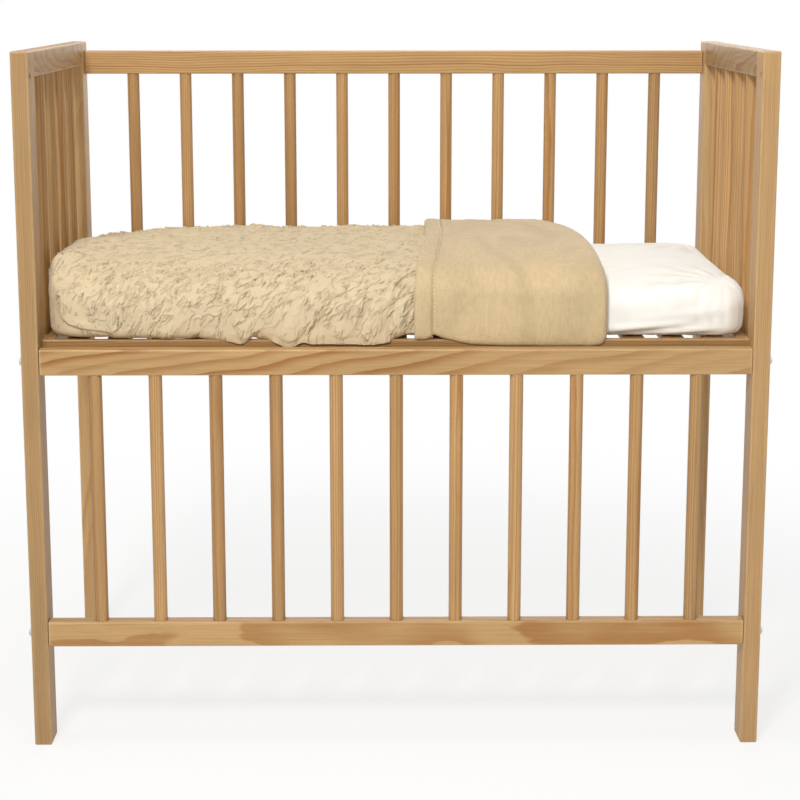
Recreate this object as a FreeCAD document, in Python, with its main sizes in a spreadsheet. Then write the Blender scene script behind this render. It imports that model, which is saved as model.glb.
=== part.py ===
"""A bedside sleeper crib of stained pine with its bedding, as a parametric document.

Millimetres, +Z up. The origin is on the floor under the middle of the crib. -Y is the low,
open side that stands against the adult's bed, and +X is to the right as seen from there.

The crib is two end frames, a slatted base and two equal panels. The back panel is bolted to
the top two of the legs' hole levels, and the front panel one level lower.
"""
import FreeCAD, Part
import math
import os
import re
import Sketcher

# Every driving size: the name of its cell, its value and what it is.
SIZES = [
    ("overall_width", 950, "outer faces of the legs, along X"),
    ("overall_depth", 466, "front of the front legs to the back of the back legs"),
    ("leg_height", 902, "floor to leg top"),
    ("leg_thick", 22.4, "leg, along X"),
    ("leg_deep", 42, "leg, along Y"),
    ("leg_round", 2.5, "rounding of the legs' edges"),
    ("rail_height", 33.4, "rail, along Z"),
    ("rail_thick", 21, "rail, across the panel"),
    ("rail_round", 2.5, "rounding of the rails' long edges"),
    ("rail_end_gap", 0.8, "free gap between a panel's rail and the leg"),
    ("end_rail_inset", 0.4, "end rails behind the legs' inner faces"),
    ("dowel_dia", 17.3, "round bars of the panels"),
    ("dowel_seat", 12, "depth of a dowel's bore in its rail"),
    ("dowel_slack", 0.05, "radial play of a dowel in its bore"),
    ("seat_slack", 0.2, "play at the bottom of a bore"),
    ("dowel_margin", 68.3, "first dowel of a front or back panel from the rail's end"),
    ("long_dowels", 11, "dowels in the front and back panels"),
    ("end_dowels", 4, "dowels in an end panel"),
    ("hole_level", 152, "lowest bolt hole above the floor"),
    ("hole_below_top", 30, "highest bolt hole below the leg's top"),
    ("hole_inset", 11, "bolt holes behind the leg's outer face, along Y"),
    ("hole_dia", 8, "bolt holes of the legs"),
    ("bolt_dia", 6, "bolt shank"),
    ("bolt_reach", 42, "length of a bolt inside a rail"),
    ("bolt_play", 0.25, "radial play of a bolt in a rail"),
    ("head_dia", 13, "domed bolt head"),
    ("head_rise", 4.5, "height of the dome"),
    ("socket_width", 4, "across the flats of the bolt's socket"),
    ("socket_deep", 2.2, "depth of the bolt's socket"),
    ("nut_dia", 10, "barrel nut"),
    ("nut_length", 20, "barrel nut, along Z"),
    ("nut_inset", 30, "barrel nut behind the rail's end"),
    ("nut_slack", 0.05, "radial play of a barrel nut"),
    ("nut_drop", 3.7, "middle of a barrel nut below its bolt"),
    ("thread_slack", 0.02, "radial play of a bolt in a nut"),
    ("pin_dia", 8, "wooden pins of the end frames"),
    ("pin_length", 40, "length of a pin"),
    ("pin_spread", 16, "distance between a joint's two pins"),
    ("pin_slack", 0.03, "radial play of a pin"),
    ("bed_rise", 24.5, "top of the base's battens and slats above the middle bolt holes"),
    ("batten_height", 30, "base battens and end bars, along Z"),
    ("batten_thick", 18, "base battens, along Y"),
    ("batten_gap", 6.5, "free gap between a panel's rail and the batten"),
    ("batten_round", 1.5, "rounding of the battens' long edges"),
    ("bar_thick", 14, "end bars of the base, along X"),
    ("base_end_gap", 0.2, "free gap between the base and the legs"),
    ("slat_count", 17, "slats"),
    ("slat_margin", 30.4, "first slat's middle from the end bar"),
    ("slat_width", 28, "slat, along X"),
    ("slat_thick", 8, "slat, along Z"),
    ("slat_seat", 10, "length of a slat's seat in the batten"),
    ("slat_round", 1.2, "rounding of the slats' long edges"),
    ("slat_play", 0.3, "play at a slat's end"),
    ("base_nut_dia", 13, "sleeve nut of the base"),
    ("base_nut_thick", 5, "sleeve nut of the base, along X"),
    ("screw_dia", 4, "screws of the base's corners"),
    ("screw_head_dia", 8, "countersunk head"),
    ("screw_head_deep", 3, "countersunk head, along Y"),
    ("screw_length", 45, "screws of the base's corners"),
    ("screw_slack", 0.05, "play round a screw"),
    ("mattress_room_left", 12.6, "room for the tucked quilt between the mattress and the left legs"),
    ("mattress_room_right", 2.6, "room between the mattress and the right legs"),
    ("mattress_room_side", 11.5, "room for the covers between the mattress and the panels"),
    ("mattress_thick", 72, "mattress at its edge, along Z"),
    ("mattress_crown", 8, "rise of the mattress's top at its middle"),
    ("soft_gap", 0.3, "free gap round soft pieces"),
    ("quilt_top", 17, "height of the quilt on the mattress"),
    ("quilt_side", 10.2, "thickness of the quilt down the sides"),
    ("quilt_end", 9.5, "thickness of the quilt at the left end"),
    ("blanket_top", 29, "height of the folded blanket on the mattress"),
    ("blanket_side", 10.6, "thickness of the blanket down the sides"),
    ("blanket_left_front", 24.5, "blanket's left edge at the front, along X"),
    ("blanket_left_back", 46.8, "blanket's left edge at the back"),
    ("blanket_right_front", 267, "blanket's right edge at the front"),
    ("blanket_right_back", 207, "blanket's right edge at the back"),
    ("hem_drop", 6, "how far the hems hang in front of the base's batten"),
    ("quilt_drop_from", -150, "where the quilt's hem starts to hang, along X"),
]

FOLD_RISE = 3.0  # height of the quilt's soft folds
FOLD_LENGTH = 118.0  # from fold to fold, along X
END_STEPS = 5  # sections round a soft end
SECTION_STEP = 24.0  # distance between sections along a soft piece
MATTRESS_ROUND_TOP = 24.0
MATTRESS_ROUND_BASE = 12.0
MATTRESS_ROUND_END = 28.0  # rounding at the ends, in plan
HEM_ROUND = 1.0  # lower edge of the quilt and the blanket
MATTRESS_BULGE = 1.0  # outward swell of the sides
MATTRESS_DRAW = 1.0  # how far the long sides pull in between the corners
END_LIFT = 0.22  # rise of the lower edge at a soft end's tip, as a share of the height
END_FALL = 0.34  # fall of the upper edge there
CROWN_SHARE = 1.1  # crown of a section, over the mattress's crown, before a soft end pulls it down

AXIS_X = FreeCAD.Vector(1, 0, 0)
AXIS_Y = FreeCAD.Vector(0, 1, 0)
AXIS_Z = FreeCAD.Vector(0, 0, 1)
UPRIGHT = FreeCAD.Rotation()
ALONG_X = FreeCAD.Rotation(AXIS_Y, 90)  # a cylinder's +Z to +X
ALONG_MINUS_X = FreeCAD.Rotation(AXIS_Y, -90)
ALONG_Y = FreeCAD.Rotation(AXIS_X, -90)  # a cylinder's +Z to +Y
ALONG_MINUS_Y = FreeCAD.Rotation(AXIS_X, 90)
QUARTER_TURN = FreeCAD.Rotation(AXIS_Z, 90)  # a rail's +X to +Y

doc = FreeCAD.newDocument("BedsideCrib")
sheet = doc.addObject("Spreadsheet::Sheet", "Sizes")
for row, (alias, value, meaning) in enumerate(SIZES, start=1):
    sheet.set(f"A{row}", alias)
    sheet.set(f"B{row}", str(value))
    sheet.set(f"C{row}", meaning)
    sheet.setAlias(f"B{row}", alias)
doc.recompute()

CELLS = {alias: f"Sizes.{alias}" for alias, _, _ in SIZES}
subparts = []  # the objects that are written out, one for each node

# Places that several pieces share, as formulas on the sheet's names.
LEG_X = "(overall_width / 2 - leg_thick / 2)"
LEG_Y = "(overall_depth / 2 - leg_deep / 2)"
LEG_INNER_Y = "(overall_depth / 2 - leg_deep)"
HOLE_Y = "(overall_depth / 2 - hole_inset)"
TOP_LEVEL = "(leg_height - hole_below_top)"
MID_LEVEL = f"((hole_level + {TOP_LEVEL}) / 2)"
HOLE_PITCH = f"(({TOP_LEVEL} - hole_level) / 2)"
LONG_RAIL = "(overall_width - 2 * leg_thick - 2 * rail_end_gap)"
LONG_PITCH = f"(({LONG_RAIL} - 2 * dowel_margin) / (long_dowels - 1))"
END_RAIL = "(overall_depth - 2 * leg_deep)"
END_RAIL_X = "(overall_width / 2 - leg_thick + end_rail_inset + rail_thick / 2)"
END_TOP_LEVEL = "(leg_height - rail_height / 2)"
BASE_LENGTH = "(overall_width - 2 * leg_thick - 2 * base_end_gap)"
BATTEN_OUTER_Y = "(overall_depth / 2 - hole_inset - rail_thick / 2 - batten_gap)"
BATTEN_Y = "(overall_depth / 2 - hole_inset - rail_thick / 2 - batten_gap - batten_thick / 2)"
BATTEN_INNER_Y = "(overall_depth / 2 - hole_inset - rail_thick / 2 - batten_gap - batten_thick)"
BED_TOP = f"({MID_LEVEL} + bed_rise)"
BATTEN_LEVEL = f"({BED_TOP} - batten_height / 2)"
SLAT_PITCH = f"(({BASE_LENGTH} - 2 * bar_thick - 2 * slat_margin) / (slat_count - 1))"
BAR_X = "(overall_width / 2 - leg_thick - base_end_gap - bar_thick / 2)"
BASE_BOLT_LEVEL = f"(({BED_TOP} - batten_height + {MID_LEVEL} + rail_height / 2) / 2)"
MATTRESS_LEFT = "(leg_thick + mattress_room_left - overall_width / 2)"
MATTRESS_RIGHT = "(overall_width / 2 - leg_thick - mattress_room_right)"
MATTRESS_HALF = "(overall_depth / 2 - hole_inset - rail_thick / 2 - mattress_room_side)"


def size(name):
    """A size of the sheet, as a number."""
    return float(sheet.get(name))


def on_sheet(formula):
    """The formula with the name of each size turned into the sheet's cell."""
    return re.sub(r"[a-z][a-z_]*", lambda found: CELLS.get(found.group(), found.group()), formula)


def worked_out(formula):
    """The value of a formula on the sheet's names, as a number."""
    probe = doc.addObject("Part::Box", "Probe")
    probe.setExpression("Placement.Base.x", on_sheet(formula))
    probe.recompute()
    value = probe.Placement.Base.x
    doc.removeObject(probe.Name)
    return value


def bind(piece, prop, formula):
    """Ties one property of a piece to a formula on the sheet's names."""
    piece.setExpression(prop, on_sheet(formula))


def place(piece, x="0", y="0", z="0", turn=UPRIGHT):
    """Turns a piece, and ties its place to three formulas."""
    piece.Placement = FreeCAD.Placement(FreeCAD.Vector(), turn)
    for letter, formula in zip("xyz", (x, y, z)):
        if formula != "0":
            bind(piece, f"Placement.Base.{letter}", formula)


def keep(piece, label):
    """Names a finished sub-part and lists it for writing."""
    piece.Label = label
    subparts.append(piece)
    return piece


def origin_feature(body, role):
    """One of the body's own planes or axes."""
    return next(item for item in body.Origin.OriginFeatures if item.Role == role)


def edges_along(shape, axis):
    """The names of the straight edges of a shape that run along an axis."""
    names = []
    for number, edge in enumerate(shape.Edges, start=1):
        run = edge.Vertexes[-1].Point - edge.Vertexes[0].Point
        if run.Length and abs(run.normalize().dot(axis)) > 0.999:
            names.append(f"Edge{number}")
    return names


# --- wooden blanks, bores and round bars ----------------------------------------------------------


def rectangle(sketch, wide, high):
    """Draws a rectangle centred on the sketch's origin, with its sides tied to two formulas."""
    corners = [FreeCAD.Vector(*corner, 0) for corner in ((-9, -9), (9, -9), (9, 9), (-9, 9))]
    for first, second in zip(corners, corners[1:] + corners[:1]):
        sketch.addGeometry(Part.LineSegment(first, second), False)
    for side in range(4):
        sketch.addConstraint(Sketcher.Constraint("Coincident", side, 2, (side + 1) % 4, 1))
    for side, way in enumerate(("Horizontal", "Vertical", "Horizontal", "Vertical")):
        sketch.addConstraint(Sketcher.Constraint(way, side))
    sketch.addConstraint(Sketcher.Constraint("Symmetric", 0, 1, 1, 2, -1, 1))
    across = sketch.addConstraint(Sketcher.Constraint("DistanceX", 0, 1, 0, 2, 18.0))
    upwards = sketch.addConstraint(Sketcher.Constraint("DistanceY", 1, 1, 1, 2, 18.0))
    bind(sketch, f"Constraints[{across}]", wide)
    bind(sketch, f"Constraints[{upwards}]", high)


def blank(name, plane, wide, high, length, rounding, round_ends=False):
    """A bar of wood as a body: a rectangle on one of its planes, padded, with rounded edges."""
    body = doc.addObject("PartDesign::Body", name)
    sketch = body.newObject("Sketcher::SketchObject", f"{name}_outline")
    sketch.AttachmentSupport = (origin_feature(body, plane), [""])
    sketch.MapMode = "FlatFace"
    rectangle(sketch, wide, high)
    pad = body.newObject("PartDesign::Pad", f"{name}_length")
    pad.Profile = sketch
    bind(pad, "Length", length)
    doc.recompute()
    along = {"XY_Plane": AXIS_Z, "YZ_Plane": AXIS_X}[plane]
    rounded = body.newObject("PartDesign::Fillet", f"{name}_rounding")
    every_edge = [f"Edge{number}" for number in range(1, len(pad.Shape.Edges) + 1)]
    rounded.Base = (pad, every_edge if round_ends else edges_along(pad.Shape, along))
    bind(rounded, "Radius", rounding)
    return body


def bore(body, name, radius, depth, x="0", y="0", z="0", turn=UPRIGHT):
    """Drills a round hole of a given depth from a place inside or on the body."""
    hole = body.newObject("PartDesign::SubtractiveCylinder", f"{body.Name}_{name}")
    bind(hole, "Radius", radius)
    bind(hole, "Height", depth)
    place(hole, x, y, z, turn)
    return hole


def long_bar(name, length, height, thick, rounding, x, y, z, turn=UPRIGHT):
    """A rail or batten. In its own frame it runs along X from 0 to its length, centred on that axis."""
    body = blank(name, "YZ_Plane", thick, height, length, rounding)
    place(body, x, y, z, turn)
    return keep(body, name)


def row_of_bores(body, count, pitch, length, from_below):
    """The dowel bores of a rail: one at the first dowel and a pattern of it along the rail."""
    level = "-rail_height / 2" if from_below else "rail_height / 2 - dowel_seat"
    first = bore(body, "dowel_bore", "dowel_dia / 2 + dowel_slack", "dowel_seat",
                 x=f"{length} / 2 - ({count} - 1) / 2 * {pitch}", z=level)
    row = body.newObject("PartDesign::LinearPattern", f"{body.Name}_bores")
    row.Originals = [first]
    row.Direction = (origin_feature(body, "X_Axis"), [""])
    row.Occurrences = int(size(count))
    bind(row, "Length", f"({count} - 1) * {pitch}")
    body.Tip = row


def dowel(name, x, y, z, height):
    """A round bar that stands in the bores of two rails."""
    bar = doc.addObject("Part::Cylinder", name)
    bind(bar, "Radius", "dowel_dia / 2")
    bind(bar, "Height", height)
    place(bar, x, y, z)
    keep(bar, name)


# --- legs and end frames --------------------------------------------------------------------------


def pin_levels():
    """The levels of an end frame's wooden pins: two in each joint of a rail with a leg."""
    return [f"{rail} {side} pin_spread / 2" for rail in (MID_LEVEL, END_TOP_LEVEL) for side in "+-"]


def leg(name, side_x, side_y, levels):
    """One leg, with its bolt holes and the blind bores of the end rails' pins."""
    body = blank(name, "XY_Plane", "leg_thick", "leg_deep", "leg_height", "leg_round", round_ends=True)
    for number, level in enumerate(levels, start=1):
        bore(body, f"bolt_hole_{number}", "hole_dia / 2", "leg_thick",
             x="-leg_thick / 2", y=f"{side_y} * (leg_deep / 2 - hole_inset)", z=level, turn=ALONG_X)
    inward = ALONG_Y if side_y > 0 else ALONG_MINUS_Y
    for number, level in enumerate(pin_levels(), start=1):
        bore(body, f"pin_bore_{number}", "pin_dia / 2 + pin_slack", "pin_length / 2 + seat_slack",
             x=f"{side_x} * ({END_RAIL_X} - {LEG_X})", y=f"{side_y} * -leg_deep / 2", z=level,
             turn=inward)
    place(body, f"{side_x} * {LEG_X}", f"{side_y} * {LEG_Y}")
    keep(body, name)


def make_legs():
    """The four legs. The front pair has a third, free level of holes for the raised front panel."""
    front = ("hole_level", MID_LEVEL, TOP_LEVEL)
    for word, side_x in (("left", -1), ("right", 1)):
        leg(f"post_front_{word}", side_x, -1, front)
        leg(f"post_back_{word}", side_x, 1, front[1:])


def end_rail(name, side_x, level, from_below):
    """A rail of an end frame, between its two legs, with dowel bores and pin bores in its ends."""
    body = long_bar(name, END_RAIL, "rail_height", "rail_thick", "rail_round",
                    f"{side_x} * {END_RAIL_X}", f"-{END_RAIL} / 2", level, turn=QUARTER_TURN)
    row_of_bores(body, "end_dowels", f"({END_RAIL} / (end_dowels + 1))", END_RAIL, from_below)
    for end, (start, turn) in enumerate((("0", ALONG_X), (END_RAIL, ALONG_MINUS_X)), start=1):
        for side in "+-":
            bore(body, f"pin_bore_{end}_{'upper' if side == '+' else 'lower'}",
                 "pin_dia / 2 + pin_slack", "pin_length / 2 + seat_slack",
                 x=start, z=f"0 {side} pin_spread / 2", turn=turn)
    return body


def make_end(word, side_x):
    """One end frame: two rails, the dowels between them and the pins in its four joints."""
    end_rail(f"end_{word}_top_rail", side_x, END_TOP_LEVEL, from_below=True)
    lower = end_rail(f"end_{word}_lower_rail", side_x, MID_LEVEL, from_below=False)
    for number, side in enumerate("-+", start=1):
        bore(lower, f"base_bolt_hole_{number}", "bolt_dia / 2 + bolt_play", "rail_thick",
             x=f"{END_RAIL} / 2 {side} {END_RAIL} / (end_dowels + 1)", y="-rail_thick / 2",
             z=f"{BASE_BOLT_LEVEL} - {MID_LEVEL}", turn=ALONG_Y)
    count = int(size("end_dowels"))
    clear = f"({END_TOP_LEVEL} - {MID_LEVEL} - rail_height + 2 * dowel_seat - 2 * seat_slack)"
    for number in range(count):
        dowel(f"end_{word}_dowel_{number + 1}", f"{side_x} * {END_RAIL_X}",
              f"({number} - (end_dowels - 1) / 2) * {END_RAIL} / (end_dowels + 1)",
              f"{MID_LEVEL} + rail_height / 2 - dowel_seat + seat_slack", clear)
    pins = []
    for number, (side_y, level) in enumerate((y, z) for y in (-1, 1) for z in pin_levels()):
        pin = doc.addObject("Part::Cylinder", f"end_{word}_pin_{number + 1}")
        bind(pin, "Radius", "pin_dia / 2")
        bind(pin, "Height", "pin_length")
        place(pin, f"{side_x} * {END_RAIL_X}", f"{side_y} * {LEG_INNER_Y} - pin_length / 2", level,
              turn=ALONG_Y)
        pins.append(pin)
    group(f"end_{word}_pins", pins)


def group(name, pieces):
    """Equal small pieces as one sub-part of separate solids."""
    together = doc.addObject("Part::Compound", name)
    together.Links = pieces
    keep(together, name)


# --- front and back panels ------------------------------------------------------------------------


def panel_rail(name, side_y, level, from_below):
    """A rail of the front or back panel, with its dowel bores, bolt bores and barrel nut bores."""
    body = long_bar(name, LONG_RAIL, "rail_height", "rail_thick", "rail_round",
                    f"-{LONG_RAIL} / 2", f"{side_y} * {HOLE_Y}", level)
    row_of_bores(body, "long_dowels", LONG_PITCH, LONG_RAIL, from_below)
    ends = (("left", "0", "nut_inset", ALONG_X),
            ("right", LONG_RAIL, f"{LONG_RAIL} - nut_inset", ALONG_MINUS_X))
    for word, mouth, nut_x, turn in ends:
        bore(body, f"bolt_bore_{word}", "bolt_dia / 2 + bolt_play", "bolt_reach + seat_slack",
             x=mouth, turn=turn)
        bore(body, f"nut_bore_{word}", "nut_dia / 2 + nut_slack",
             "rail_height / 2 - nut_drop + nut_length / 2 + seat_slack", x=nut_x, z="-rail_height / 2")


def make_panel(word, side_y, low_level):
    """The front or back panel: two rails, as far apart as the legs' holes, and their dowels."""
    high_level = f"({low_level} + {HOLE_PITCH})"
    panel_rail(f"{word}_top_rail", side_y, high_level, from_below=True)
    panel_rail(f"{word}_lower_rail", side_y, low_level, from_below=False)
    for number in range(int(size("long_dowels"))):
        dowel(f"{word}_dowel_{number + 1}", f"({number} - (long_dowels - 1) / 2) * {LONG_PITCH}",
              f"{side_y} * {HOLE_Y}", f"{low_level} + rail_height / 2 - dowel_seat + seat_slack",
              f"{HOLE_PITCH} - rail_height + 2 * dowel_seat - 2 * seat_slack")
    nuts = [barrel_nut(f"{word}_nut", number, side_x, side_y, level)
            for number, (side_x, level) in enumerate(
                (x, z) for x in (-1, 1) for z in (low_level, high_level))]
    group(f"{word}_barrel_nuts", nuts)


def barrel_nut(name, number, side_x, side_y, level):
    """A round nut that lies upright in a rail, with the bolt's thread across it."""
    outer = doc.addObject("Part::Cylinder", f"{name}_{number}_body")
    bind(outer, "Radius", "nut_dia / 2")
    bind(outer, "Height", "nut_length")
    place(outer, z="-nut_drop - nut_length / 2")
    thread = doc.addObject("Part::Cylinder", f"{name}_{number}_thread")
    bind(thread, "Radius", "bolt_dia / 2 + thread_slack")
    bind(thread, "Height", "2 * nut_dia")
    place(thread, x="-nut_dia", turn=ALONG_X)
    nut = doc.addObject("Part::Cut", f"{name}_{number}")
    nut.Base = outer
    nut.Tool = thread
    place(nut, f"{side_x} * ({LONG_RAIL} / 2 - nut_inset)", f"{side_y} * {HOLE_Y}", level)
    return nut


# --- bolts ----------------------------------------------------------------------------------------


def bolt(name, length, x, y, z, side_x):
    """A domed bolt with a hexagon socket, its head's flat side at the place and its shank inward."""
    ball = "((head_dia * head_dia / 4 + head_rise * head_rise) / (2 * head_rise))"
    dome = doc.addObject("Part::Sphere", f"{name}_dome")
    bind(dome, "Radius", ball)
    bind(dome, "Angle1", f"asin(({ball} - head_rise) / {ball})")
    place(dome, z=f"head_rise - {ball}")
    shank = doc.addObject("Part::Cylinder", f"{name}_shank")
    bind(shank, "Radius", "bolt_dia / 2")
    bind(shank, "Height", length)
    place(shank, z=f"-{length}")
    whole = doc.addObject("Part::Fuse", f"{name}_whole")
    whole.Base = dome
    whole.Tool = shank
    socket = doc.addObject("Part::Prism", f"{name}_socket")
    socket.Polygon = 6
    bind(socket, "Circumradius", "socket_width / sqrt(3)")
    bind(socket, "Height", "head_rise")
    place(socket, z="head_rise - socket_deep")
    finished = doc.addObject("Part::Cut", name)
    finished.Base = whole
    finished.Tool = socket
    place(finished, x, y, z, turn=ALONG_X if side_x > 0 else ALONG_MINUS_X)
    return finished


def make_panel_bolts():
    """The bolts of the front and back panels, through the legs into the rails' barrel nuts.

    A front bolt is made in two lengths that meet at the leg's inner face, so that the front panel
    can be moved to its upper place with the bolts' heads still in the legs.
    """
    for word, side_y, levels in (("front", -1, ("hole_level", MID_LEVEL)),
                                 ("back", 1, (MID_LEVEL, TOP_LEVEL))):
        length = "leg_thick" if word == "front" else "(leg_thick + rail_end_gap + bolt_reach)"
        spots = [(side_x, level) for side_x in (-1, 1) for level in levels]
        group(f"{word}_bolts", [
            bolt(f"{word}_bolt_{number}", length, f"{side_x} * overall_width / 2",
                 f"{side_y} * {HOLE_Y}", level, side_x)
            for number, (side_x, level) in enumerate(spots, start=1)])
        if word == "front":
            ends = []
            for number, (side_x, level) in enumerate(spots, start=1):
                end = doc.addObject("Part::Cylinder", f"front_bolt_end_{number}")
                bind(end, "Radius", "bolt_dia / 2")
                bind(end, "Height", "bolt_reach")
                place(end, f"{side_x} * {LONG_RAIL} / 2", f"-{HOLE_Y}", level,
                      turn=ALONG_MINUS_X if side_x > 0 else ALONG_X)
                ends.append(end)
            group("front_bolt_ends", ends)


# --- bed base -------------------------------------------------------------------------------------


def make_battens():
    """The base's two long battens, with a rebate for the slats' ends and holes for corner screws."""
    for word, side_y in (("front", -1), ("back", 1)):
        body = long_bar(f"base_{word}_batten", BASE_LENGTH, "batten_height", "batten_thick",
                        "batten_round", f"-{BASE_LENGTH} / 2", f"{side_y} * {BATTEN_Y}", BATTEN_LEVEL)
        rebate = body.newObject("PartDesign::SubtractiveBox", f"{body.Name}_rebate")
        bind(rebate, "Length", f"{BASE_LENGTH} - 2 * bar_thick")
        bind(rebate, "Width", "slat_seat")
        bind(rebate, "Height", "slat_thick")
        inner = "batten_thick / 2 - slat_seat" if side_y < 0 else "-batten_thick / 2"
        place(rebate, "bar_thick", inner, "batten_height / 2 - slat_thick")
        inward = ALONG_Y if side_y < 0 else ALONG_MINUS_Y
        for end, x in (("left", "bar_thick / 2"), ("right", f"{BASE_LENGTH} - bar_thick / 2")):
            bore(body, f"screw_hole_{end}", "screw_dia / 2 + screw_slack", "batten_thick",
                 x=x, y=f"{side_y} * batten_thick / 2", turn=inward)
            sink = body.newObject("PartDesign::SubtractiveCone", f"{body.Name}_sink_{end}")
            bind(sink, "Radius1", "screw_head_dia / 2 + screw_slack")
            bind(sink, "Radius2", "screw_dia / 2 + screw_slack")
            bind(sink, "Height", "screw_head_deep")
            place(sink, x, f"{side_y} * batten_thick / 2", turn=inward)


def make_end_bars():
    """The base's end bars, between the battens, bolted to the lower end rails."""
    length = f"(2 * {BATTEN_INNER_Y})"
    for word, side_x in (("left", -1), ("right", 1)):
        body = long_bar(f"base_{word}_bar", length, "batten_height", "bar_thick", "batten_round",
                        f"{side_x} * {BAR_X}", f"-{length} / 2", BATTEN_LEVEL, turn=QUARTER_TURN)
        for number, side in enumerate("-+", start=1):
            bore(body, f"bolt_hole_{number}", "bolt_dia / 2 + bolt_play", "bar_thick",
                 x=f"{length} / 2 {side} {END_RAIL} / (end_dowels + 1)", y="-bar_thick / 2",
                 z=f"{BASE_BOLT_LEVEL} - {BATTEN_LEVEL}", turn=ALONG_Y)
        for end, mouth, turn in (("front", "0", ALONG_X), ("back", length, ALONG_MINUS_X)):
            bore(body, f"screw_hole_{end}", "screw_dia / 2 + screw_slack",
                 "screw_length - batten_thick + seat_slack", x=mouth, turn=turn)


def make_slats():
    """The slats, seated in the battens' rebates with their tops flush."""
    slats = []
    for number in range(int(size("slat_count"))):
        board = doc.addObject("Part::Box", f"slat_{number + 1}_board")
        bind(board, "Length", "slat_width")
        bind(board, "Width", f"2 * ({BATTEN_INNER_Y} + slat_seat - slat_play)")
        bind(board, "Height", "slat_thick")
        place(board, f"({number} - (slat_count - 1) / 2) * {SLAT_PITCH} - slat_width / 2",
              f"-({BATTEN_INNER_Y} + slat_seat - slat_play)", f"{BED_TOP} - slat_thick")
        doc.recompute()
        slat = doc.addObject("Part::Fillet", f"slat_{number + 1}")
        slat.Base = board
        rounding = size("slat_round")
        long_edges = edges_along(board.Shape, AXIS_Y)
        slat.Edges = [(int(edge.removeprefix("Edge")), rounding, rounding) for edge in long_edges]
        slats.append(slat)
    group("base_slats", slats)


def make_base_fasteners():
    """Bolts through the lower end rails and end bars, their sleeve nuts, and the corners' screws."""
    reach = "(rail_thick + end_rail_inset + base_end_gap + bar_thick + base_nut_thick)"
    bolts, nuts, screws = [], [], []
    spots = [(side_x, side_y) for side_x in (-1, 1) for side_y in (-1, 1)]
    for number, (side_x, side_y) in enumerate(spots, start=1):
        bolt_y = f"{side_y} * {END_RAIL} / (end_dowels + 1)"
        bolts.append(bolt(f"base_bolt_{number}", reach, f"{side_x} * ({END_RAIL_X} + rail_thick / 2)",
                          bolt_y, BASE_BOLT_LEVEL, side_x))
        outer = doc.addObject("Part::Cylinder", f"base_nut_{number}_body")
        bind(outer, "Radius", "base_nut_dia / 2")
        bind(outer, "Height", "base_nut_thick")
        thread = doc.addObject("Part::Cylinder", f"base_nut_{number}_thread")
        bind(thread, "Radius", "bolt_dia / 2 + thread_slack")
        bind(thread, "Height", "base_nut_thick")
        nut = doc.addObject("Part::Cut", f"base_nut_{number}")
        nut.Base = outer
        nut.Tool = thread
        place(nut, f"{side_x} * ({BAR_X} - bar_thick / 2)", bolt_y, BASE_BOLT_LEVEL,
              turn=ALONG_MINUS_X if side_x > 0 else ALONG_X)
        nuts.append(nut)
        screws.append(screw(f"base_screw_{number}", side_x, side_y))
    group("base_bolts", bolts)
    group("base_nuts", nuts)
    group("base_screws", screws)


def screw(name, side_x, side_y):
    """A countersunk screw from the batten's outer face into the end bar."""
    shank = doc.addObject("Part::Cylinder", f"{name}_shank")
    bind(shank, "Radius", "screw_dia / 2")
    bind(shank, "Height", "screw_length")
    head = doc.addObject("Part::Cone", f"{name}_head")
    bind(head, "Radius1", "screw_head_dia / 2")
    bind(head, "Radius2", "screw_dia / 2")
    bind(head, "Height", "screw_head_deep")
    whole = doc.addObject("Part::Fuse", name)
    whole.Base = shank
    whole.Tool = head
    place(whole, f"{side_x} * {BAR_X}", f"{side_y} * {BATTEN_OUTER_Y}", BATTEN_LEVEL,
          turn=ALONG_Y if side_y < 0 else ALONG_MINUS_Y)
    return whole


# --- bedding --------------------------------------------------------------------------------------


def soft_section(x, front, back, low, high, crown, base_round):
    """A closed wire of lines and arcs across the bed at x, crowned on top, with rounded corners."""
    top_round = min(MATTRESS_ROUND_TOP, 0.45 * (high - low))
    base_round = min(base_round, 0.45 * (high - low))
    middle = (low + high) / 2

    def at(y, z):
        return FreeCAD.Vector(x, y, z)

    def corner(y, z, round_by, out_y, out_z):
        """The start, middle and end of a corner's arc, from its level side to its upright side."""
        short = round_by * (1 - math.sqrt(0.5))
        return (at(y - out_y * round_by, z), at(y - out_y * short, z - out_z * short),
                at(y, z - out_z * round_by))

    base_back = corner(back, low, base_round, 1, -1)
    top_back = corner(back, high, top_round, 1, 1)
    top_front = corner(front, high, top_round, -1, 1)
    base_front = corner(front, low, base_round, -1, -1)
    curves = [
        Part.LineSegment(base_front[0], base_back[0]),
        Part.Arc(*base_back),
        Part.Arc(base_back[2], at(back + MATTRESS_BULGE, middle), top_back[2]),
        Part.Arc(*reversed(top_back)),
        Part.Arc(top_back[0], at((front + back) / 2, high + crown), top_front[0]),
        Part.Arc(*top_front),
        Part.Arc(top_front[2], at(front - MATTRESS_BULGE, middle), base_front[2]),
        Part.Arc(*reversed(base_front)),
    ]
    return Part.Wire([curve.toShape() for curve in curves])


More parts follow.
